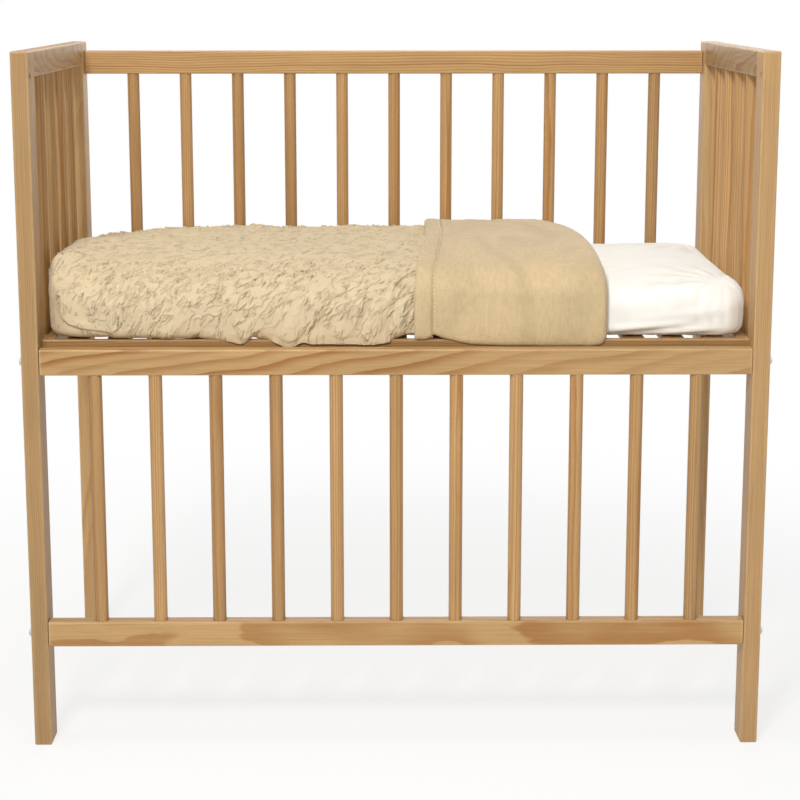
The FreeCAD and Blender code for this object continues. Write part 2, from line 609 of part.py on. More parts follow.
def bed_form(top, side, end, base_round, drop=0.0, folds=0.0, stop_x=None):
    """The mattress's closed form, grown by top, side and end and let down by drop, with soft folds.

    With stop_x, the form ends there in a plain cut instead of a rounded end.
    """
    left = worked_out(MATTRESS_LEFT) - end
    right = worked_out(MATTRESS_RIGHT) + end
    half = worked_out(MATTRESS_HALF) - MATTRESS_BULGE + side
    low = worked_out(BED_TOP) + size("soft_gap") - drop
    high = low + drop + size("mattress_thick") + top
    ends = [(MATTRESS_ROUND_END * (1 - math.cos(step / END_STEPS * math.pi / 2)),
             1 - math.sin(step / END_STEPS * math.pi / 2)) for step in range(END_STEPS + 1)]
    stations = [(left + reach, pull) for reach, pull in ends]
    last = right - MATTRESS_ROUND_END if stop_x is None else stop_x
    first = left + MATTRESS_ROUND_END
    steps = max(2, round((last - first) / SECTION_STEP))
    stations += [(first + (last - first) * step / steps, 0.0) for step in range(1, steps + 1)]
    if stop_x is None:
        stations += [(right - reach, pull) for reach, pull in reversed(ends[:-1])]
    wires = []
    for x, pull in stations:
        share = (x - left) / (right - left)
        drawn = MATTRESS_DRAW * math.sin(math.pi * share) + MATTRESS_ROUND_END * pull
        fold = folds * math.sin(2 * math.pi * (x - left) / FOLD_LENGTH) * (1 - pull)
        height = high - low - drop
        wires.append(soft_section(x, drawn - half, half - drawn,
                                  low + pull * (drop + height * END_LIFT),
                                  high + fold - pull * height * END_FALL,
                                  size("mattress_crown") * (CROWN_SHARE - pull), base_round))
    return Part.makeLoft(wires, True, True)


def plan_prism(points, low, high):
    """An upright block over a plan of straight sides."""
    corners = [FreeCAD.Vector(x, y, low) for x, y in points]
    face = Part.Face(Part.makePolygon(corners + corners[:1]))
    return face.extrude(FreeCAD.Vector(0, 0, high - low))


def soft_piece(name, shape):
    """A bedding piece whose shape follows the sheet's sizes."""
    piece = doc.addObject("Part::Feature", name)
    piece.Shape = shape
    keep(piece, name)


def make_bedding():
    """The mattress, the quilt over its left part and the folded blanket over its middle."""
    gap = size("soft_gap")
    reach_y = size("overall_depth") / 2
    floor, sky = size("hole_level"), size("leg_height")
    wide = size("overall_width")
    bed = worked_out(BED_TOP) + gap
    batten_face = worked_out(BATTEN_OUTER_Y)
    mattress = bed_form(0.0, 0.0, 0.0, MATTRESS_ROUND_BASE)
    soft_piece("mattress", mattress)

    void = bed_form(gap, gap, gap, MATTRESS_ROUND_BASE, drop=gap)
    base_room = Part.makeBox(2 * wide, reach_y + batten_face + gap, bed - floor,
                             FreeCAD.Vector(-wide, -batten_face - gap, floor))
    left_edge = [(size("blanket_left_front"), -reach_y), (size("blanket_left_back"), reach_y)]
    right_edge = [(size("blanket_right_back"), reach_y), (size("blanket_right_front"), -reach_y)]
    quilt_plan = [(-wide, reach_y), (-wide, -reach_y)] + [(x - gap, y) for x, y in left_edge]
    blanket_plan = left_edge + right_edge

    quilt_end = max(x for x, _ in left_edge)
    quilt = bed_form(size("quilt_top"), size("quilt_side"), size("quilt_end"), HEM_ROUND,
                     drop=size("hem_drop"), folds=FOLD_RISE, stop_x=quilt_end)
    hem_room = Part.makeBox(wide + size("quilt_drop_from"), 2 * reach_y, bed - floor,
                            FreeCAD.Vector(-wide, -reach_y, floor))
    quilt = quilt.common(plan_prism(quilt_plan, floor, sky)).cut([void, base_room, hem_room])
    soft_piece("quilt", quilt)

    blanket = bed_form(size("blanket_top"), size("blanket_side"), size("quilt_end"), HEM_ROUND,
                       drop=size("hem_drop"))
    blanket = blanket.common(plan_prism(blanket_plan, floor, sky)).cut([void, base_room])
    soft_piece("blanket", blanket)


# --- the whole crib -------------------------------------------------------------------------------


def write_parts():
    """Stops at the first piece that failed, then writes every sub-part."""
    doc.recompute()
    failed = [item.Name for item in doc.Objects if {"Invalid", "Error"} & set(item.State)]
    if failed:
        raise SystemExit(f"failed: {failed}")
    for piece in subparts:
        if piece.Shape.isNull() or not piece.Shape.isValid() or not piece.Shape.Solids:
            raise SystemExit(f"{piece.Label} has no valid shape")
    os.makedirs("parts", exist_ok=True)
    for piece in subparts:
        piece.Shape.exportStep(f"parts/{piece.Label}.step")
        shape = piece.Shape
        print(f"{piece.Label:24} {len(shape.Solids):3} solids {shape.Volume / 1000:10.2f} cm3")


make_legs()
make_end("left", -1)
make_end("right", 1)
make_panel("back", 1, MID_LEVEL)
make_panel("front", -1, "hole_level")
make_panel_bolts()
make_battens()
make_end_bars()
make_slats()
make_base_fasteners()
make_bedding()
write_parts()
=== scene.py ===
"""A bedside sleeper crib of lacquered pine, dressed with a fitted sheet, a quilt and a fleece blanket.

Metres, +Z up. -Y is the low, open side that stands against the adult's bed, and +X is to the right as
seen from there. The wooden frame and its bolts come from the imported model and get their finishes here,
and the bedding is modelled here over the space that the frame leaves for it.
"""
import logging
import math
from dataclasses import dataclass
from enum import Enum
from typing import Callable, Sequence, Union

import bpy
import numpy as np
from bpy.types import Material, Node, NodeSocket, NodeTree, Object
from mathutils import Matrix, Vector


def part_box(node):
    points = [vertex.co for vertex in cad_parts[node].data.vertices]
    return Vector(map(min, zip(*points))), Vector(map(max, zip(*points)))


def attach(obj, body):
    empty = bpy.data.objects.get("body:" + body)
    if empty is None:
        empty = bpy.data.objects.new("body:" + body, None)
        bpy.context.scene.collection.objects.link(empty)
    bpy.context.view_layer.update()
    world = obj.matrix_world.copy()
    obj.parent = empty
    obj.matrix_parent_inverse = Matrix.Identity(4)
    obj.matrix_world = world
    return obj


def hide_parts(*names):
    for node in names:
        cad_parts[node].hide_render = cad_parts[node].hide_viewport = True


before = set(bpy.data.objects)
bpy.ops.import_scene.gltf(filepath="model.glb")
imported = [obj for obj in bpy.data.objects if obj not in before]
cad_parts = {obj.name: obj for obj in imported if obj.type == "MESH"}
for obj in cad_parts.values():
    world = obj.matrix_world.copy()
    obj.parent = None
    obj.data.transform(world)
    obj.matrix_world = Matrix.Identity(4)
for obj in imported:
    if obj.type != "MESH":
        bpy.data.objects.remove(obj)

log = logging.getLogger("crib")

Colour = tuple[float, float, float]
Pair = tuple[float, float]
Socket = Union[NodeSocket, float]
Array = np.ndarray
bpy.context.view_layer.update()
MID_HEIGHT = 0.57  # of the bedding, to tell its outside from its inside


def paint(red: int, green: int, blue: int) -> Colour:
    """A colour as a shader needs it, from the numbers that a screen shows, each from 0 to 255."""
    shown = [part / 255 for part in (red, green, blue)]
    return tuple(part / 12.92 if part <= 0.04045 else ((part + 0.055) / 1.055) ** 2.4 for part in shown)


# --- nodes ---------------------------------------------------------------------------------------


@dataclass
class Wiring:
    """Adds nodes to one tree and wires them, so that a material reads like a formula.

    Attributes:
        tree: The node tree of a material or a group.
    """

    tree: NodeTree

    def fill(self, node: Node, inputs: dict[Union[str, int], object]) -> None:
        """Sets or wires some of a node's inputs.

        Args:
            node: The node.
            inputs: A value or a socket for each named or numbered input.
        """
        for name, value in inputs.items():
            if isinstance(value, NodeSocket):
                self.tree.links.new(value, node.inputs[name])
            else:
                node.inputs[name].default_value = value

    def node(self, kind: str, inputs: dict[Union[str, int], object] | None = None,
             **settings: object) -> Node:
        """Adds a node.

        Args:
            kind: The node's type name, after "ShaderNode".
            inputs: A value or a socket for each named or numbered input.
            settings: Values of the node's own properties.

        Returns:
            The node.
        """
        made = self.tree.nodes.new(f"ShaderNode{kind}")
        for name, value in settings.items():
            setattr(made, name, value)
        self.fill(made, inputs or {})
        return made

    def group(self, tree: NodeTree, inputs: dict[str, object]) -> Node:
        """Places a node group, with a value or a socket for each of its inputs."""
        return self.node("Group", inputs, node_tree=tree)

    def math(self, operation: str, *values: Socket, clamp: bool = False) -> NodeSocket:
        """A Math node's result, held between 0 and 1 if asked to."""
        return self.node("Math", dict(enumerate(values)), operation=operation, use_clamp=clamp).outputs[0]

    def add(self, first: Socket, second: Socket) -> NodeSocket:
        """The sum of two values."""
        return self.math("ADD", first, second)

    def less(self, first: Socket, second: Socket) -> NodeSocket:
        """The first value less the second."""
        return self.math("SUBTRACT", first, second)

    def times(self, first: Socket, second: Socket) -> NodeSocket:
        """The product of two values."""
        return self.math("MULTIPLY", first, second)

    def vector(self, operation: str, *values: object) -> NodeSocket:
        """A Vector Math node's result."""
        return self.node("VectorMath", dict(enumerate(values)), operation=operation).outputs[0]

    def join(self, x: Socket, y: Socket, z: Socket) -> NodeSocket:
        """A vector of three values."""
        return self.node("CombineXYZ", {0: x, 1: y, 2: z}).outputs[0]

    def split(self, vector: NodeSocket) -> Sequence[NodeSocket]:
        """The three values of a vector."""
        return self.node("SeparateXYZ", {0: vector}).outputs

    def ramp(self, value: Socket, low: float, high: float, start: float = 0.0,
             end: float = 1.0) -> NodeSocket:
        """A smooth step of a value, from start at low to end at high."""
        return self.node("MapRange", {"Value": value, "From Min": low, "From Max": high, "To Min": start,
                                      "To Max": end}, interpolation_type="SMOOTHSTEP").outputs[0]

    def noise(self, place: Socket, scale: float, detail: float = 2.0, rough: float = 0.5,
              colour: bool = False) -> NodeSocket:
        """Smooth noise with scale cells in a metre and detail octaves: one value, or three as a colour."""
        made = self.node("TexNoise", {"Vector": place, "Scale": scale, "Detail": detail, "Roughness": rough})
        return made.outputs["Color" if colour else "Fac"]

    def mix(self, share: Socket, first: object, second: object, blend: str = "MIX") -> NodeSocket:
        """Two colours mixed.

        Args:
            share: Share of the second colour.
            first: The first colour or its socket.
            second: The second colour or its socket.
            blend: The way of mixing.

        Returns:
            The colour's socket.
        """
        first, second = (colour if isinstance(colour, NodeSocket) else (*colour, 1.0)
                         for colour in (first, second))
        return self.node("Mix", {0: share, 6: first, 7: second}, data_type="RGBA", blend_type=blend,
                         clamp_factor=True).outputs[2]

    def tinted(self, colour: NodeSocket, shade: NodeSocket) -> NodeSocket:
        """A colour made lighter or darker by a value."""
        return self.mix(1.0, colour, self.join(shade, shade, shade), "MULTIPLY")

    def bump(self, strength: float, distance: float, height: NodeSocket, **more: object) -> NodeSocket:
        """A Bump node's normal."""
        inputs = {"Strength": strength, "Distance": distance, "Height": height, **more}
        return self.node("Bump", inputs).outputs[0]

    def direct(self) -> NodeSocket:
        """1 for a ray from the camera, or one that a mirror or glass sends on, and 0 for the rest."""
        rays = self.node("LightPath").outputs
        return self.math("MAXIMUM", self.math("MAXIMUM", rays["Is Camera Ray"], rays["Is Glossy Ray"]),
                         rays["Is Transmission Ray"])


def new_group(name: str, takes: Sequence[str], gives: Sequence[str]) -> tuple[Wiring, dict, Callable]:
    """Begins a node group. A socket with "place" in its name is a vector, and the rest are values.

    Args:
        name: The group's name.
        takes: Names of its inputs.
        gives: Names of its outputs.

    Returns:
        Its wiring, its inputs' sockets by name, and a function that takes the outputs' sockets in order.
    """
    tree = bpy.data.node_groups.new(name, "ShaderNodeTree")
    for side, names in (("INPUT", takes), ("OUTPUT", gives)):
        for title in names:
            kind = "NodeSocketVector" if "place" in title.lower() else "NodeSocketFloat"
            tree.interface.new_socket(title, in_out=side, socket_type=kind)
    start, end = tree.nodes.new("NodeGroupInput"), tree.nodes.new("NodeGroupOutput")

    def finish(*results: NodeSocket) -> NodeTree:
        """Wires the outputs and returns the group."""
        for result, slot in zip(results, end.inputs):
            tree.links.new(result, slot)
        return tree

    return Wiring(tree), {title: start.outputs[title] for title in takes}, finish


def growth_rings() -> NodeTree:
    """The figure of a sawn board: rings round a pith that leans and wanders beside the board.

    Returns:
        A group that gives the dark late wood of each ring, and each ring's own tone.
    """
    wires, at, finish = new_group(
        "growth_rings",
        ("Place", "Pith Across", "Pith Up", "Lean Across", "Lean Up", "Ring", "Wander", "Seed"),
        ("Late", "Tone"))
    along, across, up = wires.split(at["Place"])
    seeded = wires.add(along, at["Seed"])

    def squeezed(share: float) -> NodeSocket:
        """The place along the log, with its two short axes scaled."""
        return wires.join(seeded, wires.times(across, share), wires.times(up, share))

    def off_pith(value: Socket, pith: str, lean: str, wander: Socket) -> NodeSocket:
        """Distance from the pith along one of the board's two short axes."""
        straight = wires.less(wires.less(value, at[pith]), wires.times(at[lean], along))
        return wires.add(straight, wires.times(wires.less(wander, 0.5), at["Wander"]))

    drift = wires.noise(squeezed(2.5), 5.5, 1.5, 0.45, colour=True)
    drift_a, drift_u, _ = wires.node("SeparateColor", {0: drift}).outputs
    side = off_pith(across, "Pith Across", "Lean Across", drift_a)
    height = off_pith(up, "Pith Up", "Lean Up", drift_u)
    reach = wires.math("SQRT", wires.add(wires.times(side, side), wires.times(height, height)))
    ripple = wires.noise(squeezed(4.0), 26.0, 2.0, 0.5)
    count = wires.add(wires.math("DIVIDE", reach, at["Ring"]), wires.times(wires.less(ripple, 0.5), 0.26))
    share = wires.math("FRACT", count)
    tone = wires.node("TexWhiteNoise", {"W": wires.math("FLOOR", count)}, noise_dimensions="1D").outputs[0]
    late = wires.times(wires.ramp(share, 0.30, 0.93), wires.ramp(share, 0.94, 1.0, 1.0, 0.0))
    return finish(wires.times(late, wires.ramp(tone, 0.0, 1.0, 0.45, 1.0)), tone)


def wood_fibre() -> NodeTree:
    """Fine lengthwise fibres, and the short dark dashes of resin between them.

    Returns:
        A group that gives the streaks, the dashes and a slow change of tone.
    """
    wires, at, finish = new_group("wood_fibre", ("Place", "Seed"), ("Streak", "Dash", "Cloud"))
    along, across, up = wires.split(at["Place"])
    moved = wires.add(along, at["Seed"])
    streak = wires.noise(wires.join(wires.times(moved, 0.02), across, up), 520.0, 3.0, 0.6)
    dash = wires.noise(wires.join(wires.times(moved, 0.05), across, up), 1300.0, 1.0, 0.4)
    cloud = wires.noise(wires.join(moved, wires.times(across, 3.0), wires.times(up, 3.0)), 6.0, 2.0, 0.5)
    return finish(streak, wires.ramp(dash, 0.60, 0.72), cloud)


def arris_wear_and_highlight() -> NodeTree:
    """Where a bar's corners are scuffed and painted with a highlight along the edges: close to two of its
    faces at once, and in patches.

    Returns:
        A group that gives the share of the surface that is scuffed and painted with a highlight.
    """
    wires, at, finish = new_group("arris_wear_and_highlight", ("Place", "Half place", "Reach"), ("Rubbed",))
    x, y, z = wires.split(wires.vector("SUBTRACT", at["Half place"], wires.vector("ABSOLUTE", at["Place"])))
    least = wires.math("MINIMUM", wires.math("MINIMUM", x, y), z)
    most = wires.math("MAXIMUM", wires.math("MAXIMUM", x, y), z)
    middle = wires.less(wires.less(wires.add(wires.add(x, y), z), least), most)
    near = wires.ramp(wires.math("DIVIDE", middle, at["Reach"]), 0.15, 1.0, 1.0, 0.0)
    patch = wires.noise(at["Place"], 42.0, 3.0, 0.6)
    return finish(wires.times(near, wires.ramp(patch, 0.30, 0.62, 0.45, 1.0)))


def plain_weave() -> NodeTree:
    """Threads that pass over and under each other, in the cloth's own coordinates.

    Returns:
        A group that gives the threads' height and a slub that makes some of them thicker.
    """
    wires, at, finish = new_group("plain_weave", ("Place", "Threads", "Slub"), ("Height", "Slub"))
    u, v, _ = wires.split(at["Place"])
    crossing = wires.times(*[wires.math("SINE", wires.times(wires.times(line, at["Threads"]), math.pi))
                             for line in (u, v)])
    slubs = [wires.noise(wires.join(wires.times(first, 0.05), second, 0.0), 900.0, 2.0)
             for first, second in ((u, v), (v, u))]
    uneven = wires.math("MAXIMUM", *[wires.ramp(slub, 0.5, 0.75) for slub in slubs])
    return finish(wires.add(wires.times(crossing, 0.5), wires.times(uneven, at["Slub"])), uneven)


def fine_crinkle() -> NodeTree:
    """Thin bent lines of a crinkled cloth, broken into short pieces that mostly run one way.

    Returns:
        A group that gives the lines' height, and the painted shadow beside them.
    """
    heading, shade_step, line_width = 0.93, -0.0010, 0.055
    wires, at, finish = new_group("fine_crinkle", ("Place", "Across", "Along"), ("Height", "Shade"))
    u, v, _ = wires.split(at["Place"])
    cosine, sine = math.cos(heading), math.sin(heading)
    along = wires.add(wires.times(u, cosine), wires.times(v, sine))
    across = wires.less(wires.times(u, sine), wires.times(v, cosine))
    lines = []
    for shift in (0.0, shade_step):
        place = wires.join(wires.times(along, at["Along"]),
                           wires.times(wires.add(across, shift), at["Across"]), 0.0)
        off_line = wires.math("ABSOLUTE", wires.less(wires.noise(place, 1.0, 3.0, 0.54), 0.5))
        lines.append(wires.ramp(off_line, 0.0, line_width, 1.0, 0.0))
    broken = wires.ramp(wires.noise(at["Place"], 60.0, 2.0, 0.6), 0.475, 0.555)
    beside = wires.math("SUBTRACT", lines[1], lines[0], clamp=True)
    return finish(wires.times(lines[0], broken), wires.times(beside, broken))


def cloth_mottle() -> NodeTree:
    """Slow and fine changes of tone in a cloth, from washing and handling.

    Returns:
        A group that gives a slow cloud and a fine nap.
    """
    wires, at, finish = new_group("cloth_mottle", ("Place", "Nap"), ("Cloud", "Nap"))
    pulled = wires.node("TexNoise", {"Vector": at["Place"], "Scale": 17.0, "Detail": 4.0, "Roughness": 0.58,
                                     "Distortion": 1.1}).outputs["Fac"]
    return finish(pulled, wires.noise(at["Place"], at["Nap"], 3.0, 0.65))


# --- finishes ------------------------------------------------------------------------------------


class Grain(Enum):
    """The axis that a board's fibres run along."""

    ALONG_X = "X"
    ALONG_Y = "Y"
    ALONG_Z = "Z"

    def order(self, x: Socket, y: Socket, z: Socket) -> tuple[Socket, Socket, Socket]:
        """The length, width and height of the board, in that order, from three axes."""
        return {Grain.ALONG_X: (x, y, z), Grain.ALONG_Y: (y, x, z), Grain.ALONG_Z: (z, x, y)}[self]


@dataclass(frozen=True)
class Figure:
    """How one board was sawn: its pith's place and lean beside its middle, and its rings.

    Attributes:
        pith: Distance of the pith from the board's middle, over its two short axes, in metres.
        lean: How far the pith drifts in a metre of length, over the same two axes.
        ring: Thickness of a year's ring.
        wander: How far the pith wanders.
        seed: Moves the noise along the board.
        tone: The board's own lightness, beside its finish. On the end frames' top rails it is set low as
            painted shade for their shaded inner faces, and on the back-left leg it is set high as painted
            light for a leg in shade.
        calm: Where the rings begin to fade along the board, and where they have faded.
    """

    pith: Pair
    lean: Pair = (0.0, 0.0)
    ring: float = 0.0035
    wander: float = 0.010
    seed: float = 0.0
    tone: float = 1.0
    calm: Pair = (8.0, 9.0)


@dataclass(frozen=True)
class Shop:
    """The node groups that the finishes share.

    Attributes:
        rings: Growth rings.
        fibre: Wood fibres.
        wear_and_highlight: Scuffed corners, partly a painted highlight along the edges.
        weave: Woven threads.
        crinkle: The finest creases.
        mottle: Slow and fine changes of tone.
    """

    rings: NodeTree
    fibre: NodeTree
    wear_and_highlight: NodeTree
    weave: NodeTree
    crinkle: NodeTree
    mottle: NodeTree


def begin_material(name: str) -> tuple[Material, Wiring, Node]:
    """A new material with its shader.

    Args:
        name: The material's name.

    Returns:
        The material, its wiring and its shader node.
    """
    material = bpy.data.materials.new(name)
    material.use_nodes = True
    return material, Wiring(material.node_tree), material.node_tree.nodes["Principled BSDF"]


@dataclass(frozen=True)
class PineFinish:
    """Honey-stained pine under a satin lacquer.

    Attributes:
        name: Stem of the materials' names.
        pale: Colour of the early wood.
        dark: Colour of the late wood.
        contrast: How strongly the rings show.
        polish: Roughness of the lacquer.
        rubbed: Colour of the scuffed corners, which also serves as a painted highlight along the edges.
        wear_and_highlight: How far from a corner the scuffing and the painted highlight reach, in metres.
    """

    name: str
    pale: Colour = paint(196, 160, 110)
    dark: Colour = paint(166, 112, 58)
    contrast: float = 0.85
    polish: float = 0.50
    rubbed: Colour = paint(226, 196, 150)
    wear_and_highlight: float = 0.0035

    @staticmethod
    def vary(wires: Wiring, place: NodeSocket, figure: Figure,
             cells: Vector) -> tuple[NodeSocket, list[NodeSocket], NodeSocket, NodeSocket]:
        """Tells the bars of a row apart.

        Args:
            wires: The material's wiring.
            place: The place in the row.
            figure: How the bars were sawn.
            cells: Their spacing along each axis, 0 where there is one.

        Returns:
            The place in the bar, and the bar's own pith, seed and tone.
        """
        numbers = [wires.math("ROUND", wires.math("DIVIDE", part, step)) if step else wires.math("SIGN", part)
                   for part, step in zip(wires.split(place), cells)]
        drawn = wires.node("TexWhiteNoise", {"Vector": wires.join(*numbers[:2], figure.seed)},
                           noise_dimensions="3D")
        red, green, blue = wires.node("SeparateColor", {0: drawn.outputs["Color"]}).outputs
        own = [wires.times(number, step) if step else 0.0 for number, step in zip(numbers, cells)]
        pith = [wires.times(wires.less(part, 0.5), spread) for part, spread in zip((red, green), figure.pith)]
        return wires.vector("SUBTRACT", place, wires.join(*own)), pith, wires.times(red, 7.0), blue

    def make(self, shop: Shop, title: str, grain: Grain, figure: Figure, low: Vector, high: Vector,
             cells: Vector | None = None) -> Material:
        """The material of one board, or of a row of equal bars.

        Args:
            shop: The shared node groups.
            title: The board's name.
            grain: The axis of its fibres.
            figure: How it was sawn.
            low: Its lowest corner.
            high: Its highest corner.
            cells: Spacing of a row of bars along each axis, 0 where there is one, to vary them.

        Returns:
            The material.
        """
        material, wires, shader = begin_material(f"{self.name}_{title}")
        coords = wires.node("TexCoord").outputs
        if cells is None:
            place = wires.vector("SUBTRACT", coords["Object"], (low + high) / 2)
            pith, seed = figure.pith, figure.seed
        else:
            place, pith, seed, tone = self.vary(wires, coords["Object"], figure, cells)
        board = wires.join(*grain.order(*wires.split(place)))
        rings = wires.group(shop.rings, {
            "Place": board, "Pith Across": pith[0], "Pith Up": pith[1], "Lean Across": figure.lean[0],
            "Lean Up": figure.lean[1], "Ring": figure.ring, "Wander": figure.wander, "Seed": seed}).outputs
        fibre = wires.group(shop.fibre, {"Place": board, "Seed": seed}).outputs
        shown = wires.ramp(wires.split(board)[0], *figure.calm, self.contrast, 0.42 * self.contrast)
        late = wires.times(rings["Late"], shown)
        colour = wires.mix(late, self.pale, self.dark)
        colour = wires.mix(wires.times(rings["Tone"], wires.times(shown, 0.18)), colour, self.dark)
        shade = wires.add(wires.add(wires.ramp(fibre["Streak"], 0.25, 0.75, 0.90, 1.07),
                                    wires.ramp(fibre["Cloud"], 0.2, 0.8, -0.05, 0.05)),
                          wires.times(fibre["Dash"], -0.07))
        if cells is not None:
            shade = wires.add(shade, wires.ramp(tone, 0.0, 1.0, -0.09, 0.07))
            warm = wires.ramp(wires.math("FRACT", wires.times(tone, 7.3)), 0.0, 1.0, 0.0, 0.35)
            colour = wires.mix(warm, colour, self.dark)
        end = wires.math("ABSOLUTE", grain.order(*wires.split(coords["Normal"]))[0])
        shade = wires.times(shade, wires.ramp(end, 0.75, 0.98, figure.tone, 0.80 * figure.tone))
        colour = wires.tinted(colour, shade)
        if cells is None:
            half = (high - low) / 2
            # Paler corners: partly real scuffing, partly a painted highlight along the edges.
            worn_and_highlit = wires.group(shop.wear_and_highlight, {"Place": place, "Half place": half, "Reach": self.wear_and_highlight})
            colour = wires.mix(wires.times(worn_and_highlit.outputs[0], 0.30), colour, self.rubbed)
        rough = wires.ramp(fibre["Streak"], 0.2, 0.8, self.polish + 0.05, self.polish - 0.05)
        relief = wires.add(wires.times(fibre["Streak"], 0.6), wires.times(rings["Late"], 0.4))
        wires.fill(shader, {"Base Color": colour, "Roughness": wires.add(rough, wires.times(late, -0.05)),
                            "Normal": wires.bump(0.35, 0.00015, relief), "Coat Weight": 0.06,
                            "Coat Roughness": 0.32, "Specular IOR Level": 0.22})
        return material


@dataclass(frozen=True)
class ZincFinish:
    """Zinc-plated steel, lightly brushed and handled.

    Attributes:
        colour: The metal's colour.
        dull: Its colour where it has been handled.
        polish: Its roughness.
    """

    colour: Colour = paint(196, 194, 188)
    dull: Colour = paint(150, 146, 138)
    polish: float = 0.30

    def make(self, shop: Shop, title: str) -> Material:
        """The material.

        Args:
            shop: The shared node groups.
            title: The material's name.

        Returns:
            The material.
        """
        material, wires, shader = begin_material(title)
        place = wires.node("TexCoord").outputs["Object"]
        nap = wires.group(shop.mottle, {"Place": place, "Nap": 900.0}).outputs["Nap"]
        smear = wires.noise(place, 260.0, 3.0, 0.7)
        wires.fill(shader, {
            "Base Color": wires.mix(wires.ramp(nap, 0.4, 0.8, 0.0, 0.25), self.colour, self.dull),
            "Roughness": wires.ramp(smear, 0.3, 0.7, self.polish - 0.08, self.polish + 0.14),
            "Normal": wires.bump(0.2, 0.00005, smear), "Metallic": 1.0})
        return material


@dataclass(frozen=True)
class ClothFinish:
    """A woven or brushed cloth.

    Attributes:
        colour: The cloth's colour.
        hollow: The painted shade colour that the cloth turns towards deep in a crease.
        threads: Threads in a metre.
        slub: How uneven the threads are.
        nap: Grains of the nap in a metre.
        nap_shade: How much the nap changes the tone.
        relief: Height of the threads or the nap, in metres.
        sheen: Soft rim light of the fibres.
        brush: How many times longer than wide a grain of the nap is.
        cloud: How much slow patches change the tone.
        crinkle: Height of the finest creases, in metres.
    """

    colour: Colour
    hollow: Colour
    threads: float = 1500.0
    slub: float = 0.3
    nap: float = 900.0
    nap_shade: float = 0.05
    relief: float = 0.00012
    sheen: float = 0.1
    brush: float = 1.0
    cloud: float = 0.022
    crinkle: float = 0.0

    def make(self, shop: Shop, title: str) -> Material:
        """The material. It reads the piece's UV map, in metres, and its "crease" attribute, which paints
        shade into the colour.

        Args:
            shop: The shared node groups.
            title: The material's name.

        Returns:
            The material.
        """
        material, wires, shader = begin_material(title)
        flat = wires.node("TexCoord").outputs["UV"]
        u, v, _ = wires.split(flat)
        brushed = wires.join(u, wires.math("DIVIDE", v, self.brush), 0.0)
        weave = wires.group(shop.weave, {"Place": flat, "Threads": self.threads, "Slub": self.slub}).outputs
        mottle = wires.group(shop.mottle, {"Place": brushed, "Nap": self.nap}).outputs
        crease = wires.node("Attribute", attribute_name="crease").outputs["Fac"]
        shade = wires.add(wires.ramp(mottle["Cloud"], 0.30, 0.70, 1 - self.cloud, 1 + self.cloud),
                          wires.ramp(mottle["Nap"], 0.3, 0.7, -self.nap_shade, self.nap_shade))
        shade = wires.less(shade, wires.times(weave["Slub"], 0.02))
        # Painted shade: the crease attribute mixes the colour towards the hollow colour.
        colour = wires.tinted(wires.mix(crease, self.colour, self.hollow), shade)
        bump = wires.bump(0.7, self.relief, wires.add(weave["Height"], mottle["Nap"]))
        if self.crinkle:
            lines = wires.group(shop.crinkle, {"Place": flat, "Across": 95.0, "Along": 27.0}).outputs
            bump = wires.bump(0.8, self.crinkle, lines["Height"], Normal=bump)
            # Painted shadow: the colour darkens towards the hollow colour beside each fine line.
            colour = wires.mix(wires.times(lines["Shade"], 0.40), colour, self.hollow)
        rough = wires.ramp(mottle["Nap"], 0.3, 0.7, 0.82, 0.95)
        wires.fill(shader, {"Base Color": colour, "Roughness": rough, "Normal": bump,
                            "Sheen Weight": self.sheen, "Sheen Roughness": 0.5, "Specular IOR Level": 0.25})
        return material


# --- frame ---------------------------------------------------------------------------------------


def dress(material: Material, *nodes: str) -> None:
    """Gives CAD pieces a material.

    Args:
        material: The material.
        nodes: Names of the pieces.
    """
    for name in nodes:
        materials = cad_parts[name].data.materials
        materials.clear()
        materials.append(material)


def span(*nodes: str) -> tuple[Vector, Vector]:
    """The lowest and highest corner of several CAD pieces together."""
    boxes = [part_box(name) for name in nodes]
    return (Vector([min(box[0][axis] for box in boxes) for axis in range(3)]),
            Vector([max(box[1][axis] for box in boxes) for axis in range(3)]))


